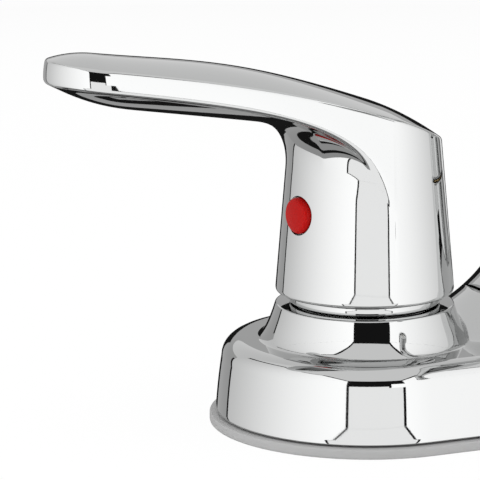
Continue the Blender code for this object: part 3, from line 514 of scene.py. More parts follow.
def spread_about(group, mask, middle, spread):
    """Value that runs from middle minus spread to middle plus spread with a mask."""
    low, high = (add_node(group, "Math", {0: middle, 1: spread}, operation=operation).outputs[0]
                 for operation in ("SUBTRACT", "ADD"))
    remap = add_node(group, "MapRange", {"Value": mask, "From Min": 0.3, "From Max": 0.7,
                                         "To Min": low, "To Max": high})
    return remap.outputs["Result"]


def make_wear_group():
    """Roughness that changes softly, as on a surface that is handled and wiped."""
    group, given, result = new_group(
        "surface wear", {"Scale": 60.0, "Roughness": 0.3, "Spread": 0.05}, "Roughness")
    mask = add_noise(group, given["Scale"], 4.0)
    feed(group, result, {"Roughness": spread_about(group, mask, given["Roughness"], given["Spread"])})


def make_tone_group():
    """Colour that drifts a little lighter and darker."""
    group, given, result = new_group(
        "surface tone", {"Scale": 40.0, "Colour": (0.5, 0.5, 0.5, 1.0), "Spread": 0.05},
        "Colour", "NodeSocketColor")
    level = spread_about(group, add_noise(group, given["Scale"], 3.0), 1.0, given["Spread"])
    scale = add_node(group, "VectorMath", {0: given["Colour"], "Scale": level}, operation="SCALE")
    feed(group, result, {"Colour": scale.outputs["Vector"]})


def make_grain_group():
    """Fine relief of a moulded or cast surface over a slow waviness."""
    group, given, result = new_group(
        "surface grain", {"Fine Scale": 3000.0, "Wave Scale": 60.0, "Wave Share": 0.5}, "Height")
    fine = add_noise(group, given["Fine Scale"], 2.0)
    wave = add_noise(group, given["Wave Scale"], 1.0)
    mix = add_node(group, "Mix", {"Factor": given["Wave Share"], "A": fine, "B": wave})
    feed(group, result, {"Height": mix.outputs["Result"]})


def make_turning_group():
    """Fine tool marks that run round a turned surface, at heights along Z."""
    group, given, result = new_group("turning marks", {"Lines": 2500.0, "Distortion": 0.6}, "Height")
    place = add_node(group, "TexCoord").outputs["Object"]
    lines = add_node(group, "TexWave", {"Vector": place, "Scale": given["Lines"], "Detail": 2.0,
                                        "Distortion": given["Distortion"]}, bands_direction="Z")
    feed(group, result, {"Height": lines.outputs["Fac"]})


def add_group(tree, group, values):
    node = tree.nodes.new("ShaderNodeGroup")
    node.node_tree = bpy.data.node_groups[group]
    feed(tree, node, values)
    return node.outputs[0]


def new_material(name):
    material = bpy.data.materials.new(name)
    material.use_nodes = True
    return material, material.node_tree


def make_finish(name, colour, metallic, roughness, roughness_spread, tone_spread, relief, relief_group,
                gloss=0.5):
    """Material with drifting tone, uneven gloss and a relief."""
    tree = new_material(name)[1]
    tone = add_group(tree, "surface tone", {"Colour": (*colour, 1.0), "Spread": tone_spread})
    wear = add_group(tree, "surface wear", {"Roughness": roughness, "Spread": roughness_spread})
    bump = add_node(tree, "Bump", {"Strength": 1.0, "Distance": relief,
                                   "Height": add_group(tree, *relief_group)})
    feed(tree, tree.nodes["Principled BSDF"],
         {"Base Color": tone, "Metallic": metallic, "Roughness": wear, "Specular IOR Level": gloss,
          "Normal": bump.outputs["Normal"]})


POLISH = ("surface grain", {"Fine Scale": 1500.0, "Wave Scale": 45.0, "Wave Share": 0.9})
MOULDED = ("surface grain", {"Fine Scale": 3500.0, "Wave Scale": 120.0, "Wave Share": 0.2})
CAST = ("surface grain", {"Fine Scale": 1400.0, "Wave Scale": 200.0, "Wave Share": 0.35})
TURNED = ("turning marks", {"Lines": 900.0, "Distortion": 0.8})
DRAWN = ("turning marks", {"Lines": 300.0, "Distortion": 3.0})


class FAUCET_OT_finishes(bpy.types.Operator):
    """Make the finishes and put them on the pieces that stay from the frame"""

    bl_idname = "faucet.finishes"
    bl_label = "Finishes and inner parts"

    def execute(self, context):
        colours = context.scene.faucet_finish
        for make in (make_wear_group, make_tone_group, make_grain_group, make_turning_group):
            make()
        make_finish("polished chrome", colours.chrome, 1.0, 0.035, 0.012, 0.006, 0.004 * MM, POLISH)
        make_finish("machined brass", colours.brass, 1.0, 0.28, 0.05, 0.05, 0.02 * MM, TURNED)
        make_finish("copper tube", (0.73, 0.37, 0.25), 1.0, 0.30, 0.06, 0.08, 0.02 * MM, DRAWN)
        make_finish("bright steel", colours.steel, 1.0, 0.28, 0.06, 0.04, 0.02 * MM, CAST)
        make_finish("gasket plastic", colours.gasket, 0.0, 0.55, 0.05, 0.03, 0.03 * MM, MOULDED)
        make_finish("white acetal", (0.80, 0.80, 0.78), 0.0, 0.40, 0.05, 0.02, 0.02 * MM, MOULDED)
        make_finish("black rubber", (0.03, 0.03, 0.03), 0.0, 0.60, 0.08, 0.15, 0.04 * MM, MOULDED)
        make_finish("white ceramic", (0.85, 0.84, 0.82), 0.0, 0.12, 0.03, 0.02, 0.005 * MM, MOULDED)
        make_finish("red plastic", colours.hot, 0.0, 0.22, 0.05, 0.05, 0.01 * MM, MOULDED, 0.06)
        make_finish("blue plastic", colours.cold, 0.0, 0.22, 0.05, 0.05, 0.01 * MM, MOULDED, 0.06)
        kept = {"mixing_tee": "machined brass", "spout_foot": "machined brass",
                "spout_wear_ring": "white acetal", "lower_o_ring": "black rubber",
                "upper_o_ring": "black rubber", "aerator_washer": "black rubber"}
        for piece, finish in (("cartridge_shell", "machined brass"), ("stem", "machined brass"),
                              ("crossover_tube", "copper tube"), ("set_screw", "bright steel"),
                              ("stem_o_ring", "black rubber"), ("seat_seal", "black rubber"),
                              ("fixed_disc", "white ceramic"), ("moving_disc", "white ceramic")):
            for side in SIDES:
                kept[side + "_" + piece] = finish
        for node, finish in kept.items():
            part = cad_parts[node]
            if not part.material_slots:
                raise RuntimeError(node + " has no material slot")
            for slot in part.material_slots:
                slot.material = bpy.data.materials[finish]
        return {"FINISHED"}


def stadium_plate(name, radius, low, high):
    """Plate with two round ends, centred on the valve axes."""
    deselect_all()
    bpy.ops.mesh.primitive_circle_add(vertices=128, radius=radius, fill_type="NGON", location=(0, 0, low))
    plate = named(bpy.context.object, name)
    place_in_mesh(plate)
    edit_all(plate)
    bpy.ops.mesh.bisect(plane_co=(0, 0, 0), plane_no=(1, 0, 0))
    mesh = bmesh.from_edit_mesh(plate.data)
    for end in (-1, 1):
        for vert in mesh.verts:
            vert.select_set(vert.co.x * end > WELD)
        mesh.select_flush_mode()
        bpy.ops.transform.translate(value=(end * VALVE_OFFSET, 0, 0))
    bpy.ops.mesh.select_all(action="SELECT")
    extrude((0, 0, high - low))
    clean_up(plate)
    return plate


class FAUCET_OT_gasket(bpy.types.Operator):
    """Add the deck gasket with its two shank holes"""

    bl_idname = "faucet.gasket"
    bl_label = "Deck gasket"

    def execute(self, context):
        settings = context.scene.faucet_base
        gasket = stadium_plate("gasket_plate", GASKET_RADIUS, GASKET_BOTTOM, GASKET_TOP)
        for side in SIDES:
            hole = rod(settings.gasket_hole, GASKET_BOTTOM - MM, GASKET_TOP + MM,
                       origin=(*valve_axis(side), 0))
            combine(gasket, hole, "DIFFERENCE")
        modify(gasket, "BEVEL", width=settings.gasket_rounding, segments=3,
               limit_method="ANGLE", angle_limit=math.radians(50))
        shade(gasket)
        dress(gasket, BODY, ["deck_gasket"], "gasket plastic")
        return {"FINISHED"}


def smooth_profile(corners):
    """Points of the smooth curve that touches each stretch between corners at its middle."""
    corners = [Vector(corner) * MM for corner in corners]
    points = [corners[0]]
    for before, corner, after in zip(corners, corners[1:], corners[2:]):
        points += curve(before.lerp(corner, 0.5), corner, corner.lerp(after, 0.5), np.linspace(0, 1, 9))
    return np.array([tuple(point) for point in points])


NECK_CURVE = smooth_profile(NECK_PROFILE)


def neck_height(x, y):
    """Rise of a neck over the base top: a slightly hollow cone on a tight foot."""
    out = math.hypot(x - VALVE_OFFSET, y) - NECK_RADIUS
    return float(np.interp(out, NECK_CURVE[:, 0], NECK_CURVE[:, 1], right=0.0))


def hub_height(x, y):
    """Rise of the bell-shaped hub over the base top."""
    low, high = 0.0, 1.0
    if math.hypot(x / HUB_REACH_ALONG, y / HUB_REACH_ACROSS) >= 1:
        return 0.0
    for step in range(HUB_SEARCH_STEPS):
        flare = (low + high) / 2
        along = HUB_RADIUS + (HUB_REACH_ALONG - HUB_RADIUS) * flare
        across = HUB_RADIUS + (HUB_REACH_ACROSS - HUB_RADIUS) * flare
        if math.hypot(x / along, y / across) > 1:
            low = flare
        else:
            high = flare
    share = 1 - ((low + high) / 2) ** (1 / HUB_FLARE_POWER)
    return HUB_RISE * share ** HUB_RISE_POWER


def softened(height, top, blend):
    """Height that leaves zero without a crease and still reaches its top."""
    return height * height / (height + blend) * (top + blend) / top


def casting_height(x, y, blend):
    neck = neck_height(x, y)
    hub = softened(hub_height(x, y), HUB_RISE, blend)
    return BASE_TOP + (neck ** BLEND_POWER + hub ** BLEND_POWER) ** (1 / BLEND_POWER)


def plateau_edge(centre, direction):
    """Point and normal on the base top's outline, or a point on the split between hub and neck."""
    across = PATCH_SPLIT - centre
    if direction.x * across > 0 and abs(direction.x) * PLATEAU_RADIUS > direction.y * abs(across):
        return Vector((PATCH_SPLIT, direction.y / direction.x * across, 0)), None
    if centre > 0 and direction.x > 0:
        return Vector((centre, 0, 0)) + direction * PLATEAU_RADIUS, direction
    beside = direction.x / direction.y * PLATEAU_RADIUS
    return Vector((centre + beside, PLATEAU_RADIUS, 0)), Vector((0, 1, 0))


def wall_outline():
    """Shoulder, convex wall, foot and inside of the wall: distance out from the base top, height."""
    outline = []
    for i in range(1, SHOULDER_RINGS + 1):
        turn = math.pi / 2 * i / SHOULDER_RINGS
        outline.append((SHOULDER * math.sin(turn), BASE_TOP - SHOULDER * (1 - math.cos(turn))))
    for i in range(1, WALL_RINGS):
        share = i / WALL_RINGS
        out = SHOULDER + BASE_DRAFT * (share + WALL_BULGE * share * (1 - share))
        outline.append((out, WALL_TOP + (BASE_BOTTOM - WALL_TOP) * share))
    foot = SHOULDER + BASE_DRAFT
    inside = foot - BASE_WALL
    outline += [(foot - inset, BASE_BOTTOM + height) for inset, height in FOOT_CORNER]
    return outline + [(inside, BASE_BOTTOM), (inside - BASE_DRAFT, BASE_CEILING)]


WALL_OUTLINE = wall_outline()


def casting_rays(centre, radius, bore, top):
    """Lines over a quarter of the casting, from a bore over the neck or hub down to the base's foot."""
    across = abs(PATCH_SPLIT - centre)
    corner = math.atan2(PLATEAU_RADIUS, across)
    angles = [math.atan2(PLATEAU_RADIUS * i / CORNER_RAYS, across) for i in range(CORNER_RAYS)]
    angles += [corner + (math.pi / 2 - corner) * i / CORNER_RAYS for i in range(CORNER_RAYS)]
    if centre:
        angles = [math.pi - angle for angle in angles]
        angles += [math.pi / 2 * (1 - i / END_RAYS) for i in range(END_RAYS + 1)]
    else:
        angles.append(math.pi / 2)
    return [casting_ray(centre, heading(angle), radius, bore, top) for angle in angles]


def casting_ray(centre, direction, radius, bore, top):
    settings = bpy.context.scene.faucet_base
    edge = settings.edge_rounding
    middle = Vector((centre, 0, 0))
    tilt = NECK_TILT if centre else 0.0
    spacing = NECK_SPACING if centre else HUB_SPACING
    back = edge * (1 - math.sin(tilt)) / math.cos(tilt)
    outline = [(bore, BASE_CEILING), (bore, top - edge), (bore + edge, top)]
    for i in range(EDGE_RINGS + 1):
        turn = math.pi / 2 + (tilt - math.pi / 2) * i / EDGE_RINGS
        outline.append((radius + edge * math.cos(turn) - back, top - edge * (1 - math.sin(turn))))
    ray = [middle + direction * out + UP * height for out, height in outline]
    begin = middle + direction * outline[-1][0]
    end, normal = plateau_edge(centre, direction)
    for i in range(1, TOP_RINGS + 1):
        place = begin.lerp(end, (i / TOP_RINGS) ** spacing)
        place.z = min(casting_height(place.x, place.y, settings.foot_blend), top - edge)
        ray.append(place)
    if normal is not None:
        ray += [end + normal * out + UP * height for out, height in WALL_OUTLINE]
    return ray


def add_mesh(name, mesh):
    data = bpy.data.meshes.new(name)
    mesh.to_mesh(data)
    mesh.free()
    piece = bpy.data.objects.new(name, data)
    bpy.context.scene.collection.objects.link(piece)
    return piece


class FAUCET_OT_base(bpy.types.Operator):
    """Add the base casting, whose top flows into two necks and a hub"""

    bl_idname = "faucet.base"
    bl_label = "Base casting"

    def execute(self, context):
        mesh = bmesh.new()
        for rays in (casting_rays(0.0, HUB_RADIUS, HUB_BORE, HUB_TOP),
                     casting_rays(VALVE_OFFSET, NECK_RADIUS, NECK_BORE, NECK_TOP)):
            columns = [[mesh.verts.new(point) for point in ray] for ray in rays]
            for left, right in zip(columns, columns[1:]):
                for i in range(min(len(left), len(right)) - 1):
                    mesh.faces.new((left[i], left[i + 1], right[i + 1], right[i]))
        base = add_mesh("base_shell", mesh)
        modify(base, "MIRROR", use_axis=(True, True, False), merge_threshold=WELD)
        clean_up(base)
        edit_all(base, "EDGE")
        shell = bmesh.from_edit_mesh(base.data)
        for edge in shell.edges:
            edge.select_set(edge.is_boundary)
        shell.select_flush_mode()
        bpy.ops.mesh.fill(use_beauty=False)
        clean_up(base)
        shade(base, math.radians(40))
        dress(base, BODY, ["base_casting"], "polished chrome")
        return {"FINISHED"}


def edge_height(u):
    """Height of the lever's top edge at a distance u from the stem towards the nose."""
    return EDGE_AT_AXIS + EDGE_LIFT * (1 - math.exp(-u / EDGE_LIFT_LENGTH)) + EDGE_SLOPE * u


def body_radius(height):
    return RIM_RADIUS - BODY_DRAFT * (height - RIM_HEIGHT)


class LeverForm:
    """The lever's skin, as lines from the stem socket over rim and side to the middle of its top."""

    def __init__(self, lever):
        self.lever = lever
        self.reach = lever.reach
        self.nose = lever.nose_radius
        self.taper = math.asin((SHOULDER_RADIUS - self.nose) / self.reach)

    def stations(self):
        """Half of the top outline from the back to the nose: position, outward angle, spine point."""
        tangent = math.pi / 2 - self.taper
        aside = heading(tangent).xy
        tip = Vector((self.reach, 0))
        found = []
        for i in range(BACK_STATIONS):
            angle = math.pi + (tangent - math.pi) * i / BACK_STATIONS
            found.append((heading(angle).xy * SHOULDER_RADIUS, angle, 0.0))
        for i in range(SIDE_STATIONS):
            share = (i / SIDE_STATIONS) ** SIDE_SPACING_POWER
            place = (aside * SHOULDER_RADIUS).lerp(aside * self.nose + tip, share)
            found.append((place, tangent, share * self.reach))
        for i in range(NOSE_STATIONS + 1):
            angle = tangent * (1 - i / NOSE_STATIONS)
            found.append((heading(angle).xy * self.nose + tip, angle, self.reach))
        return found

    def half_width(self, u):
        return (SHOULDER_RADIUS - u * math.sin(self.taper)) / math.cos(self.taper)

    def band_height(self, u):
        return self.lever.band + BAND_DROP * math.exp(-max(u, 0.0) / BAND_DROP_LENGTH)

    def crown(self, u):
        share = min(max(u / self.reach, 0.0), 1.0)
        return self.lever.crown + self.lever.crown_swell * math.sin(math.pi * share) ** 2

    def belly(self, u, v):
        """Height of the rounded underside."""
        width = self.half_width(min(max(u, 0.0), self.reach))
        end_share = max(u - self.reach + NOSE_RUN, 0.0) / (self.nose + NOSE_RUN)
        spread = math.sqrt((v / width) ** 2 + end_share ** 3)
        keel = EDGE_AT_AXIS - BELLY_DEPTH + BELLY_SLOPE * u
        edge = edge_height(u) - self.band_height(u)
        return keel + (edge - keel) * min(spread, 1.0) ** BELLY_ROUNDNESS

    def under_side(self, place, low_edge):
        """Line from the body over the hollow cove and along the underside to the band."""
        direction = place.normalized()
        reach = low_edge.xy.length
        root = body_radius(low_edge.z)
        corner_height = min(self.belly(direction.x * root, direction.y * root), low_edge.z)
        corner = Vector((body_radius(corner_height), corner_height))
        start = Vector((body_radius(corner_height - COVE_LEG), corner_height - COVE_LEG))
        leave = min(corner.x + COVE_LEG, reach)
        if leave < reach:
            end = Vector((leave, self.belly(direction.x * leave, direction.y * leave)))
        else:
            end = Vector((reach, low_edge.z))
        shares = [i / PATH_SAMPLES for i in range(PATH_SAMPLES)]
        line = curve(start, corner, end, shares)
        for share in shares:
            radius = leave + (reach - leave) * share
            line.append(Vector((radius, self.belly(direction.x * radius, direction.y * radius))))
        line.append(Vector((reach, low_edge.z)))
        return [Vector((direction.x * p.x, direction.y * p.x, p.y)) for p in line]

    def meridian(self, place, angle, spine):
        """Line from the socket over rim, side and band to the spine on the top."""
        lever = self.lever
        top = Vector((place.x, place.y, edge_height(place.x)))
        band = self.band_height(place.x)
        outward = heading(angle)
        direction = place.normalized().to_3d()
        rim = direction * RIM_RADIUS + UP * RIM_HEIGHT
        if spine > 0:
            low_edge = top + outward * (BODY_DRAFT * band) - UP * band
            lower = self.under_side(place, low_edge)
        else:
            low_edge = top.lerp(rim, band / (top.z - rim.z))
            lower = [rim.lerp(low_edge, BACK_WALL_SHARE), low_edge]
        swell = 2 * BAND_SWELL * min(2 * spine / self.reach, 1.0)
        bow = top.lerp(low_edge, 0.5) + outward * swell
        side = curve(low_edge, bow, top, np.linspace(0, 1, PATH_SAMPLES))
        crown = []
        for scale in np.linspace(1, 0, PATH_SAMPLES):
            u = spine + (place.x - spine) * scale
            height = edge_height(u) + self.crown(u) * (1 - scale ** 2)
            crown.append(Vector((u, place.y * scale, height)))
        core_radius = body_radius(CORE_TOP) - HANDLE_WALL
        inner = [(0.0, STEM_SOCKET_TOP), (STEM_SOCKET_RADIUS, STEM_SOCKET_TOP),
                 (STEM_SOCKET_RADIUS, BOSS_BOTTOM), (BOSS_RADIUS, BOSS_BOTTOM), (BOSS_RADIUS, CORE_TOP),
                 (core_radius, CORE_TOP), (RIM_RADIUS - HANDLE_WALL, RIM_HEIGHT)]
        points = [direction * radius + UP * height for radius, height in inner]
        foot = [rim, lower[0]]
        points += [rim - direction * RIM_ROUNDING]
        points += corner_curve([points[-2], rim], foot, RIM_ROUNDING)
        points += spaced(foot, RIM_ROUNDING, RIM_ROUNDING, 4)
        blend = lever.low_rounding + BLEND_GROWTH * math.exp(-max(place.x, 0.0) / BLEND_LENGTH)
        points += spaced(lower, 0, blend, LOWER_RINGS)
        points += corner_curve(lower, side, blend)
        points += spaced(side, blend, lever.top_rounding, BAND_RINGS)
        points += corner_curve(side, crown, lever.top_rounding)
        points += spaced(crown, lever.top_rounding, 0, CROWN_RINGS)
        return points


def distances(line):
    points = np.array([tuple(p) for p in line])
    steps = np.linalg.norm(np.diff(points, axis=0), axis=1)
    return points, np.concatenate([[0.0], np.cumsum(steps)])


def at_distance(points, travelled, distance):
    return Vector([float(np.interp(distance, travelled, points[:, axis])) for axis in range(3)])


def spaced(line, skip_start, skip_end, count):
    """Evenly spaced points along a line, short of its ends by the given lengths."""
    points, travelled = distances(line)
    stops = np.linspace(skip_start, travelled[-1] - skip_end, count)
    return [at_distance(points, travelled, stop) for stop in stops]


def corner_curve(before, after, leg):
    """Points between two lines on a small curve that rounds the corner where they meet."""
    points, travelled = distances(before)
    start = at_distance(points, travelled, travelled[-1] - leg)
    points, travelled = distances(after)
    end = at_distance(points, travelled, leg)
    corner = Vector(after[0])
    shares = [i / (ROUNDING_RINGS + 1) for i in range(1, ROUNDING_RINGS + 1)]
    return curve(start, corner, end, shares)


def button_direction(side):
    return Vector((SIDES[side] * math.cos(BUTTON_TURN), -math.sin(BUTTON_TURN), 0))


def lever_skin(lever):
    """Closed skin of the hot lever handle, which points away from the spout."""
    form = LeverForm(lever)
    half = [form.meridian(*station) for station in form.stations()]
    other_half = [[Vector((p.x, -p.y, p.z)) for p in line] for line in half[-2:0:-1]]
    x, y = valve_axis("hot")
    mesh = bmesh.new()
    lines = [[mesh.verts.new((x - p.x, y + p.y, p.z)) for p in line] for line in half + other_half]
    for left, right in zip(lines, lines[1:] + lines[:1]):
        for i in range(len(left) - 1):
            mesh.faces.new((left[i], right[i], right[i + 1], left[i + 1]))
    bmesh.ops.remove_doubles(mesh, verts=mesh.verts, dist=WELD)
    return add_mesh("hot_lever", mesh)


class FAUCET_OT_levers(bpy.types.Operator):
    """Add both lever handles, with the pockets for their colour buttons"""

    bl_idname = "faucet.levers"
    bl_label = "Lever handles"

    def execute(self, context):
        lever = context.scene.faucet_lever
        piece = lever_skin(lever)
        clean_up(piece)
        axis = (*valve_axis("hot"), BUTTON_HEIGHT)
        out = button_direction("hot")
        face = body_radius(BUTTON_HEIGHT)
        pocket = lever.button_radius + POCKET_GAP
        seat = face - BUTTON_DEPTH - POCKET_GAP
        combine(piece, rod(pocket + RIB_WALL, BOSS_RADIUS - MM, face - MM, out, axis), "UNION")
        combine(piece, rod(pocket, seat, face + 3 * MM, out, axis, 96), "DIFFERENCE")
        combine(piece, rod(SCREW_HOLE, STEM_SOCKET_RADIUS - MM, seat + MM, out, axis), "DIFFERENCE")
        shade(piece, math.radians(38))
        dress_pair(piece, "cold_lever", MIRRORED, "handle", "polished chrome", LEVER_BODY)
        return {"FINISHED"}


class FAUCET_OT_buttons(bpy.types.Operator):
    """Add the red and the blue button in the levers"""

    bl_idname = "faucet.buttons"
    bl_label = "Colour buttons"

    def execute(self, context):
        radius = context.scene.faucet_lever.button_radius
        length = BUTTON_DEPTH + BUTTON_PROUD
        outline = [(0.0, 0.0), (radius, 0.0)]
        for i in range(9):
            turn = math.pi / 2 * i / 8
            outline.append((radius - BUTTON_EDGE * (1 - math.cos(turn)),
                            length - BUTTON_DOME - BUTTON_EDGE * (1 - math.sin(turn))))
        for share in (0.8, 0.6, 0.4, 0.2, 0.0):
            outline.append(((radius - BUTTON_EDGE) * share, length - BUTTON_DOME * share ** 2))
        start = turned("button", outline, steps=64)
        for side, tint in (("hot", "red"), ("cold", "blue")):
            out = button_direction(side)
            turn = UP.rotation_difference(out).to_matrix().to_4x4()
            place = Vector((*valve_axis(side), BUTTON_HEIGHT))
            place += out * (body_radius(BUTTON_HEIGHT) - BUTTON_DEPTH)
            button = copy_of(start, side + "_button", Matrix.Translation(place) @ turn)
            dress(button, LEVER_BODY[side], [side + "_index_button"], tint + " plastic")
        bpy.data.objects.remove(start, do_unlink=True)
        return {"FINISHED"}


class FAUCET_OT_bonnet_nuts(bpy.types.Operator):
    """Add the nuts that clamp the base under the levers"""

    bl_idname = "faucet.bonnet_nuts"
    bl_label = "Bonnet nuts"

    def execute(self, context):
        centre = valve_axis("hot")
        skirt = 13.7 * MM
        skirt_bore = 12.7 * MM
        seat = NECK_TOP + 0.3 * MM
        flange_top = seat + 1.5 * MM
        lip = 24.5 * MM
        lip_bore = 6.6 * MM
        flange = BONNET_RADIUS - 1.1 * MM
        hexagon = 12.1 * MM
        outline = [(skirt_bore, BONNET_BOTTOM), (skirt, BONNET_BOTTOM), (skirt, seat), (flange, seat),
                   (flange, flange_top), (lip_bore, flange_top), (lip_bore, lip), (skirt_bore, lip)]
        nut = turned("hot_nut", outline, centre, rounding=0.25 * MM)
        cap = hex_bar(hexagon, flange_top - 0.4 * MM, BONNET_TOP, centre)
        combine(nut, cap, "UNION")
        combine(nut, rod(lip_bore, lip - MM, BONNET_TOP + MM, origin=(*centre, 0)), "DIFFERENCE")
        shade(nut)
        dress_pair(nut, "cold_nut", HALF_TURN, "bonnet_nut", "polished chrome")
        return {"FINISHED"}


class FAUCET_OT_spout_tube(bpy.types.Operator):
    """Add the bent spout tube"""

    bl_idname = "faucet.spout_tube"
    bl_label = "Spout tube"

    def execute(self, context):
        spout = context.scene.faucet_spout
        forward = Vector((0, -math.cos(spout.pitch), math.sin(spout.pitch)))
        knee = math.pi / 2 - spout.pitch
        crest = math.pi / 2 + spout.pitch
        long_stretch = spout.reach / math.cos(spout.pitch)
        long_stretch -= spout.bend * (math.tan(knee / 2) + math.tan(crest / 2))
        deselect_all()
        bpy.ops.mesh.primitive_circle_add(vertices=72, radius=spout.radius, location=(0, 0, SPOUT_LOW))
        tube = named(bpy.context.object, "spout_pipe")
        place_in_mesh(tube)
        edit_all(tube)
        extrude(UP * SPOUT_RISER)
        centre = Vector((0, -spout.bend, SPOUT_LOW + SPOUT_RISER))
        bpy.ops.mesh.spin(steps=24, angle=-knee, center=centre, axis=(1, 0, 0))
        extrude(forward * long_stretch)
        centre += forward * long_stretch
        bpy.ops.mesh.spin(steps=28, angle=-crest, center=centre, axis=(1, 0, 0))
        extrude(-UP * SPOUT_OUTLET)
        clean_up(tube)
        modify(tube, "SOLIDIFY", thickness=spout.wall, offset=-1, use_even_offset=True)
        shade(tube)
        dress(tube, SPOUT_BODY, ["spout_tube"], "polished chrome")
        return {"FINISHED"}


class FAUCET_OT_spout_nut(bpy.types.Operator):
    """Add the nut that holds the spout on its hub"""

    bl_idname = "faucet.spout_nut"
    bl_label = "Spout nut"

    def execute(self, context):
        rounding = context.scene.faucet_spout.edge_rounding
        radius = SPOUT_NUT_RADIUS
        bore = 12.5 * MM
        throat = 9.8 * MM
        lip = 55.6 * MM
        slope = 2.4 * MM
        chamfer = 0.6 * MM
        outline = [(bore, SPOUT_NUT_BOTTOM), (radius - chamfer, SPOUT_NUT_BOTTOM),
                   (radius, SPOUT_NUT_BOTTOM + chamfer), (radius, SPOUT_NUT_TOP - slope),
                   (radius - slope, SPOUT_NUT_TOP), (throat, SPOUT_NUT_TOP), (throat, lip), (bore, lip)]
        nut = turned("spout_collar_nut", outline, steps=128, rounding=rounding)
        dress(nut, BODY, ["spout_nut"], "polished chrome")
        return {"FINISHED"}


class FAUCET_OT_outlet(bpy.types.Operator):
    """Add the outlet ring and its screen"""

    bl_idname = "faucet.outlet"
    bl_label = "Outlet ring and screen"

    def execute(self, context):
        spout = context.scene.faucet_spout
        centre = (0.0, -spout.reach)
        lip_bore, insert_bore, tube_bore = 8.6 * MM, 10.6 * MM, 9.8 * MM
        lip_top, washer_top = 80.7 * MM, 86.2 * MM
        outline = [(lip_bore, AERATOR_BOTTOM), (AERATOR_RADIUS, AERATOR_BOTTOM),
                   (AERATOR_RADIUS, AERATOR_TOP), (tube_bore, AERATOR_TOP), (tube_bore, washer_top),
                   (insert_bore, washer_top), (insert_bore, lip_top), (lip_bore, lip_top)]
        ring = turned("outlet_ring", outline, centre, steps=128, rounding=0.8 * spout.edge_rounding)
        dress(ring, SPOUT_BODY, ["aerator_housing"], "polished chrome")
        spacing, rib, depth = 1.5 * MM, 0.6 * MM, 0.4 * MM
        face = SCREEN_BOTTOM + depth
        grooves = [(0.0, face)]
        for i in range(1, 6):
            radius = i * spacing
            grooves += [(radius, face), (radius, SCREEN_BOTTOM), (radius + rib, SCREEN_BOTTOM),
                        (radius + rib, face)]
        grooves += [(SCREEN_RADIUS, face), (SCREEN_RADIUS, SCREEN_TOP), (0.0, SCREEN_TOP)]
        screen = turned("outlet_screen", grooves, centre, steps=64)
        dress(screen, SPOUT_BODY, ["aerator_screen"], "white acetal")
        return {"FINISHED"}


class FAUCET_OT_valve_bodies(bpy.types.Operator):
    """Add both valve bodies with their threaded shanks"""

    bl_idname = "faucet.valve_bodies"
    bl_label = "Valve bodies"

    def execute(self, context):
        fixing = context.scene.faucet_fixing
        rings = int((THREAD_TOP - SHANK_END) / (fixing.thread_pitch / RINGS_PER_TURN))
        step = (THREAD_TOP - SHANK_END) / rings
        shank = [(THREAD_CREST, SHANK_END + step * i) for i in range(rings + 1)]
        outline = [(INLET_RADIUS, SHANK_END)] + shank + [
            (THREAD_CREST, BASE_BOTTOM), (VALVE_FLANGE_RADIUS, BASE_BOTTOM),
            (VALVE_FLANGE_RADIUS, BASE_BOTTOM + VALVE_FLANGE), (VALVE_RADIUS, BASE_BOTTOM + VALVE_FLANGE),
            (VALVE_RADIUS, VALVE_TOP), (VALVE_BORE, VALVE_TOP), (VALVE_BORE, SEAT_FLOOR),
            (INLET_RADIUS, SEAT_FLOOR)]
        x, y = valve_axis("hot")
        body = turned("hot_valve", outline, (x, y), steps=72)
        port = (x, y, PORT_HEIGHT)
        inward = (1, 0, 0)
        combine(body, rod(PORT_RADIUS, VALVE_BORE + MM, PORT_REACH, inward, port), "UNION")
        combine(body, rod(PORT_SOCKET, PORT_STOP, PORT_REACH + MM, inward, port), "DIFFERENCE")
        combine(body, rod(PORT_BORE, VALVE_BORE - MM, PORT_STOP + MM, inward, port), "DIFFERENCE")
        for vert in body.data.vertices:
            away = Vector((vert.co.x - x, vert.co.y - y))
            if abs(away.length - THREAD_CREST) > WELD or vert.co.z > THREAD_TOP + WELD:
                continue
            turns = vert.co.z / fixing.thread_pitch - math.atan2(away.y, away.x) / math.tau
            depth = fixing.thread_depth * min(abs(2 * (turns % 1.0) - 1) * THREAD_FLANK, 1.0)
            ends = min((vert.co.z - SHANK_END) / MM, (THREAD_TOP - vert.co.z) / MM, 1.0)
            keep = 1 - depth * ends / THREAD_CREST
            vert.co.x = x + away.x * keep
            vert.co.y = y + away.y * keep
        shade(body, math.radians(30))
        dress_pair(body, "cold_valve", HALF_TURN, "valve_body", "machined brass")
        return {"FINISHED"}


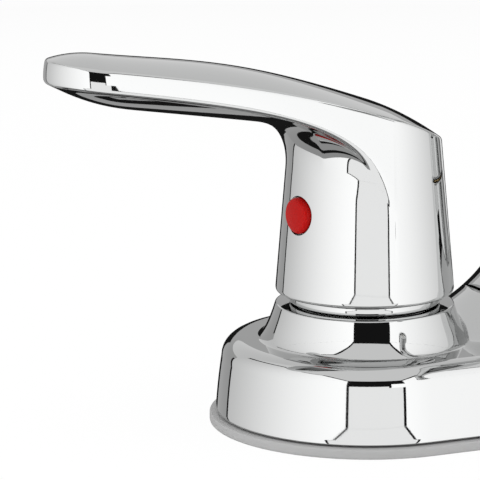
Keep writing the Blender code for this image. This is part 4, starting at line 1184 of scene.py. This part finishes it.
class FAUCET_OT_fixings(bpy.types.Operator):
    """Add the washers and chamfered lock nuts under the deck"""

    bl_idname = "faucet.fixings"
    bl_label = "Washers and lock nuts"

    def execute(self, context):
        fixing = context.scene.faucet_fixing
        centre = valve_axis("hot")
        outline = [(SHANK_HOLE, WASHER_BOTTOM), (WASHER_RADIUS, WASHER_BOTTOM), (WASHER_RADIUS, WASHER_TOP),
                   (SHANK_HOLE, WASHER_TOP)]
        washer = turned("hot_washer", outline, centre, rounding=fixing.washer_rounding)
        nut = hex_bar(LOCK_NUT_RADIUS, NUT_BOTTOM, NUT_TOP, centre)
        named(nut, "hot_backnut")
        flat = LOCK_NUT_RADIUS - fixing.nut_chamfer
        barrel = [(0.0, NUT_BOTTOM - MM), (flat - MM, NUT_BOTTOM - MM), (flat, NUT_BOTTOM),
                  (LOCK_NUT_RADIUS + MM, NUT_BOTTOM + fixing.nut_chamfer),
                  (LOCK_NUT_RADIUS + MM, NUT_TOP - fixing.nut_chamfer), (flat, NUT_TOP),
                  (flat - MM, NUT_TOP + MM), (0.0, NUT_TOP + MM)]
        combine(nut, turned("tool", barrel, centre), "INTERSECT")
        bore = [(0.0, NUT_BOTTOM - MM), (SHANK_HOLE + MM, NUT_BOTTOM - MM), (SHANK_HOLE + MM, NUT_BOTTOM),
                (SHANK_HOLE, NUT_BOTTOM + MM), (SHANK_HOLE, NUT_TOP - MM), (SHANK_HOLE + MM, NUT_TOP),
                (SHANK_HOLE + MM, NUT_TOP + MM), (0.0, NUT_TOP + MM)]
        combine(nut, turned("tool", bore, centre), "DIFFERENCE")
        shade(nut)
        dress_pair(washer, "cold_washer", HALF_TURN, "fixing_washer", "bright steel")
        dress_pair(nut, "cold_backnut", HALF_TURN, "lock_nut", "machined brass")
        return {"FINISHED"}


def glow(name, strength):
    """White glowing material for a card of the studio."""
    material, tree = new_material(name)
    tree.nodes.clear()
    light = add_node(tree, "Emission", {"Color": WHITE, "Strength": strength})
    add_node(tree, "OutputMaterial", {"Surface": light.outputs[0]})
    return material


def make_softbox_glow(stage):
    """Glow that is brightest near the camera and falls off round the sides."""
    material = glow("softbox", stage.softbox)
    tree = material.node_tree
    brightest = CAMERA_TURN - math.pi / 2 + SOFTBOX_TURN
    slope = heading(brightest) * stage.falloff / stage.distance
    place = add_node(tree, "TexCoord").outputs["Object"]
    along = add_node(tree, "VectorMath", {0: place, 1: slope}, operation="DOT_PRODUCT")
    middle = stage.softbox - slope.x * valve_axis("hot")[0]
    level = add_node(tree, "Math", {0: along.outputs["Value"], 1: middle}, operation="ADD")
    feed(tree, tree.nodes["Emission"], {"Strength": level.outputs[0]})
    return material


def seen_rays(tree):
    """1 for camera, glossy and transmission rays, 0 for the rays that light matte surfaces."""
    rays = add_node(tree, "LightPath").outputs
    total = rays["Is Camera Ray"]
    for kind in ("Is Glossy Ray", "Is Transmission Ray"):
        total = add_node(tree, "Math", {0: total, 1: rays[kind]}, operation="MAXIMUM").outputs[0]
    return total


def make_floor(stage):
    """Pale floor at deck height; it shows white and keeps a share of the object's shadow."""
    deselect_all()
    bpy.ops.mesh.primitive_plane_add(size=FLOOR_SIZE, location=(0, 0, 0))
    floor = named(bpy.context.object, "floor")
    material, tree = new_material("pale floor")
    shader = tree.nodes["Principled BSDF"]
    feed(tree, shader, {"Base Color": PALE, "Roughness": 0.9, "Specular IOR Level": 0.0})
    white = add_node(tree, "Emission")
    share = add_node(tree, "Math", {0: seen_rays(tree), 1: 1 - stage.floor_shade}, operation="MULTIPLY")
    mix = add_node(tree, "MixShader", {0: share.outputs[0], 1: shader.outputs[0], 2: white.outputs[0]})
    feed(tree, tree.nodes["Material Output"], {"Surface": mix.outputs[0]})
    floor.data.materials.append(material)
    floor.visible_glossy = False


def make_world(stage):
    """White surroundings, which light matte surfaces with the fill strength."""
    world = bpy.data.worlds.new("white studio")
    bpy.context.scene.world = world
    world.use_nodes = True
    tree = world.node_tree
    level = add_node(tree, "MapRange", {"Value": seen_rays(tree), "To Min": stage.fill, "To Max": 1.0})
    feed(tree, tree.nodes["Background"], {"Color": WHITE, "Strength": level.outputs["Result"]})


def make_card(name, stage, left, right, low, high, distance, material, lean=(0.0, 0.0)):
    """Upright curved card round the hot lever, between two angles right of the camera.

    The lean turns the left and the right end of the lower edge by some more degrees.
    """
    x, y = valve_axis("hot")
    towards_camera = math.atan2(-math.cos(CAMERA_TURN), math.sin(CAMERA_TURN))
    steps = max(1, int((right - left) / 90 * stage.steps))
    mesh = bmesh.new()
    rings = []
    for height, more_left, more_right in ((low, *lean), (high, 0.0, 0.0)):
        angles = np.radians(np.linspace(left + more_left, right + more_right, steps + 1))
        rings.append([mesh.verts.new((x + distance * math.cos(angle + towards_camera),
                                      y + distance * math.sin(angle + towards_camera), height))
                      for angle in angles])
    for i in range(steps):
        mesh.faces.new((rings[0][i], rings[0][i + 1], rings[1][i + 1], rings[1][i]))
    card = add_mesh(name, mesh)
    card.data.materials.append(material)
    card.visible_camera = False
    card.visible_shadow = False


def make_pit(name, radius, height, material):
    """Round card under the faucet, which the undersides reflect."""
    deselect_all()
    bpy.ops.mesh.primitive_circle_add(vertices=64, radius=radius, fill_type="NGON",
                                      location=(*valve_axis("hot"), height))
    pit = named(bpy.context.object, name)
    pit.data.materials.append(material)
    pit.visible_camera = False
    pit.visible_shadow = False


class FAUCET_OT_stage(bpy.types.Operator):
    """Add the floor, the softboxes, the dark cards and the camera"""

    bl_idname = "faucet.stage"
    bl_label = "Studio and camera"

    def execute(self, context):
        stage = context.scene.faucet_stage
        make_floor(stage)
        make_world(stage)
        softbox = make_softbox_glow(stage)
        pale = glow("pale card", stage.gap)
        dark = glow("dark card", DARK_GLOW)
        dim = glow("dim card", stage.dim)
        grey = glow("grey card", stage.pit)
        back = glow("back card", stage.back)
        cards = (("left_softbox", -130, -15.5, CARD_BOTTOM, SOFTBOX_TOP, 1.0, softbox),
                 ("right_softbox", 30, 130, CARD_BOTTOM, SOFTBOX_TOP, 1.0, softbox),
                 ("side_softbox", 134, 150, CARD_BOTTOM, SOFTBOX_TOP, 1.0, softbox),
                 ("left_frame", -15.5, -13.5, FLARE_TOP, FRAME_TOP, 1.0, dark),
                 ("right_frame", 28, 30, FLARE_TOP, FRAME_TOP, 1.0, dark),
                 ("outer_left_frame", -133, -130, CARD_BOTTOM, FRAME_TOP, 1.0, dark),
                 ("outer_right_frame", 130, 134, CARD_BOTTOM, FRAME_TOP, 1.0, dark),
                 ("gap_card", -13.5, 28, FLARE_TOP, GAP_TOP, 1.0, pale),
                 ("black_card", -13.5, 28, GAP_TOP, FRAME_TOP, 1.0, dark),
                 ("softbox_tab", 19, 30, 0.044, 0.17, 0.99, softbox),
                 ("tab_frame", 17, 19, 0.044, 0.17, 0.99, dark),
                 ("low_gap_card", -29, 39, CARD_BOTTOM, FLARE_BOTTOM, 0.99, pale),
                 ("low_left_frame", -31, -29, CARD_BOTTOM, FLARE_BOTTOM, 0.99, dark),
                 ("low_right_frame", 39, 41, CARD_BOTTOM, FLARE_BOTTOM, 0.99, dark),
                 ("far_card", 160, 200, CARD_BOTTOM, 0.12, 1.0, dark),
                 ("low_back_card", 150, 230, 0.12, 0.19, 1.0, dim),
                 ("left_back_card", 200, 227, CARD_BOTTOM, 0.12, 1.0, dim),
                 ("back_card", 150, 230, 0.19, 1.5, 1.0, back),
                 ("left_upper_softbox", -105, -48, SOFTBOX_TOP, 0.8, 1.0, softbox, (-25, 32.5)),
                 ("right_upper_softbox", 62, 105, SOFTBOX_TOP, 0.8, 1.0, softbox, (-32, 45)),
                 ("left_upper_frame", -109, -44, SOFTBOX_TOP, 0.85, 1.01, dark, (-26, 31)),
                 ("right_upper_frame", 58, 109, SOFTBOX_TOP, 0.85, 1.01, dark, (-31, 45)),
                 ("flared_gap", -13.5, 28, FLARE_BOTTOM, FLARE_TOP, 0.99, pale, (-15.5, 11)),
                 ("flared_left_frame", -15.5, -13.5, FLARE_BOTTOM, FLARE_TOP, 0.99, dark, (-15.5, -15.5)),
                 ("flared_right_frame", 28, 30, FLARE_BOTTOM, FLARE_TOP, 0.99, dark, (11, 11)))
        for name, left, right, low, high, share, material, *lean in cards:
            make_card(name, stage, left, right, low, high, share * stage.distance, material, *lean)
        for name, share, height, material in (
                ("pit_outside", 1.0, -0.35, grey), ("pit_ring", 0.7, -0.345, dark),
                ("pit_middle", 0.55, -0.34, grey), ("pit_inside", 0.3, -0.335, dark)):
            make_pit(name, share * stage.distance, height, material)
        bpy.ops.object.light_add(type="AREA", location=LAMP_PLACE)
        lamp = bpy.context.object
        lamp.name = "overhead_lamp"
        lamp.data.size = LAMP_SIZE
        lamp.data.energy = LAMP_POWER
        lamp.visible_glossy = False
        lamp.rotation_euler = Vector(LAMP_PLACE).to_track_quat("Z", "Y").to_euler()
        camera_data = bpy.data.cameras.new("camera")
        camera_data.lens = CAMERA_LENS
        camera = bpy.data.objects.new("camera", camera_data)
        camera.location = CAMERA_PLACE
        camera.rotation_euler = (CAMERA_TILT, 0, CAMERA_TURN)
        context.scene.collection.objects.link(camera)
        context.scene.camera = camera
        context.scene.view_settings.view_transform = "Standard"
        return {"FINISHED"}


STEPS = (FAUCET_OT_finishes, FAUCET_OT_gasket, FAUCET_OT_base, FAUCET_OT_levers, FAUCET_OT_buttons,
         FAUCET_OT_bonnet_nuts, FAUCET_OT_spout_tube, FAUCET_OT_spout_nut, FAUCET_OT_outlet,
         FAUCET_OT_valve_bodies, FAUCET_OT_fixings, FAUCET_OT_stage)
SETTINGS = {"faucet_lever": LeverSettings, "faucet_base": BaseSettings, "faucet_spout": SpoutSettings,
            "faucet_fixing": FixingSettings, "faucet_finish": FinishSettings, "faucet_stage": StageSettings}


class FAUCET_PT_panel(bpy.types.Panel):
    """Settings and steps of the faucet"""

    bl_idname = "FAUCET_PT_panel"
    bl_label = "Faucet"
    bl_space_type = "VIEW_3D"
    bl_region_type = "UI"
    bl_category = "Faucet"

    def draw(self, context):
        for name, group in SETTINGS.items():
            box = self.layout.box()
            for label in group.__annotations__:
                box.prop(getattr(context.scene, name), label)
        for step in STEPS:
            self.layout.operator(step.bl_idname)


def register():
    for name, group in SETTINGS.items():
        bpy.utils.register_class(group)
        setattr(bpy.types.Scene, name, PointerProperty(type=group))
    for step in STEPS:
        bpy.utils.register_class(step)
    bpy.utils.register_class(FAUCET_PT_panel)


def unregister():
    bpy.utils.unregister_class(FAUCET_PT_panel)
    for step in reversed(STEPS):
        bpy.utils.unregister_class(step)
    for name, group in SETTINGS.items():
        delattr(bpy.types.Scene, name)
        bpy.utils.unregister_class(group)


def main():
    register()
    bpy.ops.faucet.finishes()
    bpy.ops.faucet.gasket()
    bpy.ops.faucet.base()
    bpy.ops.faucet.levers()
    bpy.ops.faucet.buttons()
    bpy.ops.faucet.bonnet_nuts()
    bpy.ops.faucet.spout_tube()
    bpy.ops.faucet.spout_nut()
    bpy.ops.faucet.outlet()
    bpy.ops.faucet.valve_bodies()
    bpy.ops.faucet.fixings()
    bpy.ops.faucet.stage()


if __name__ == "__main__":
    main()
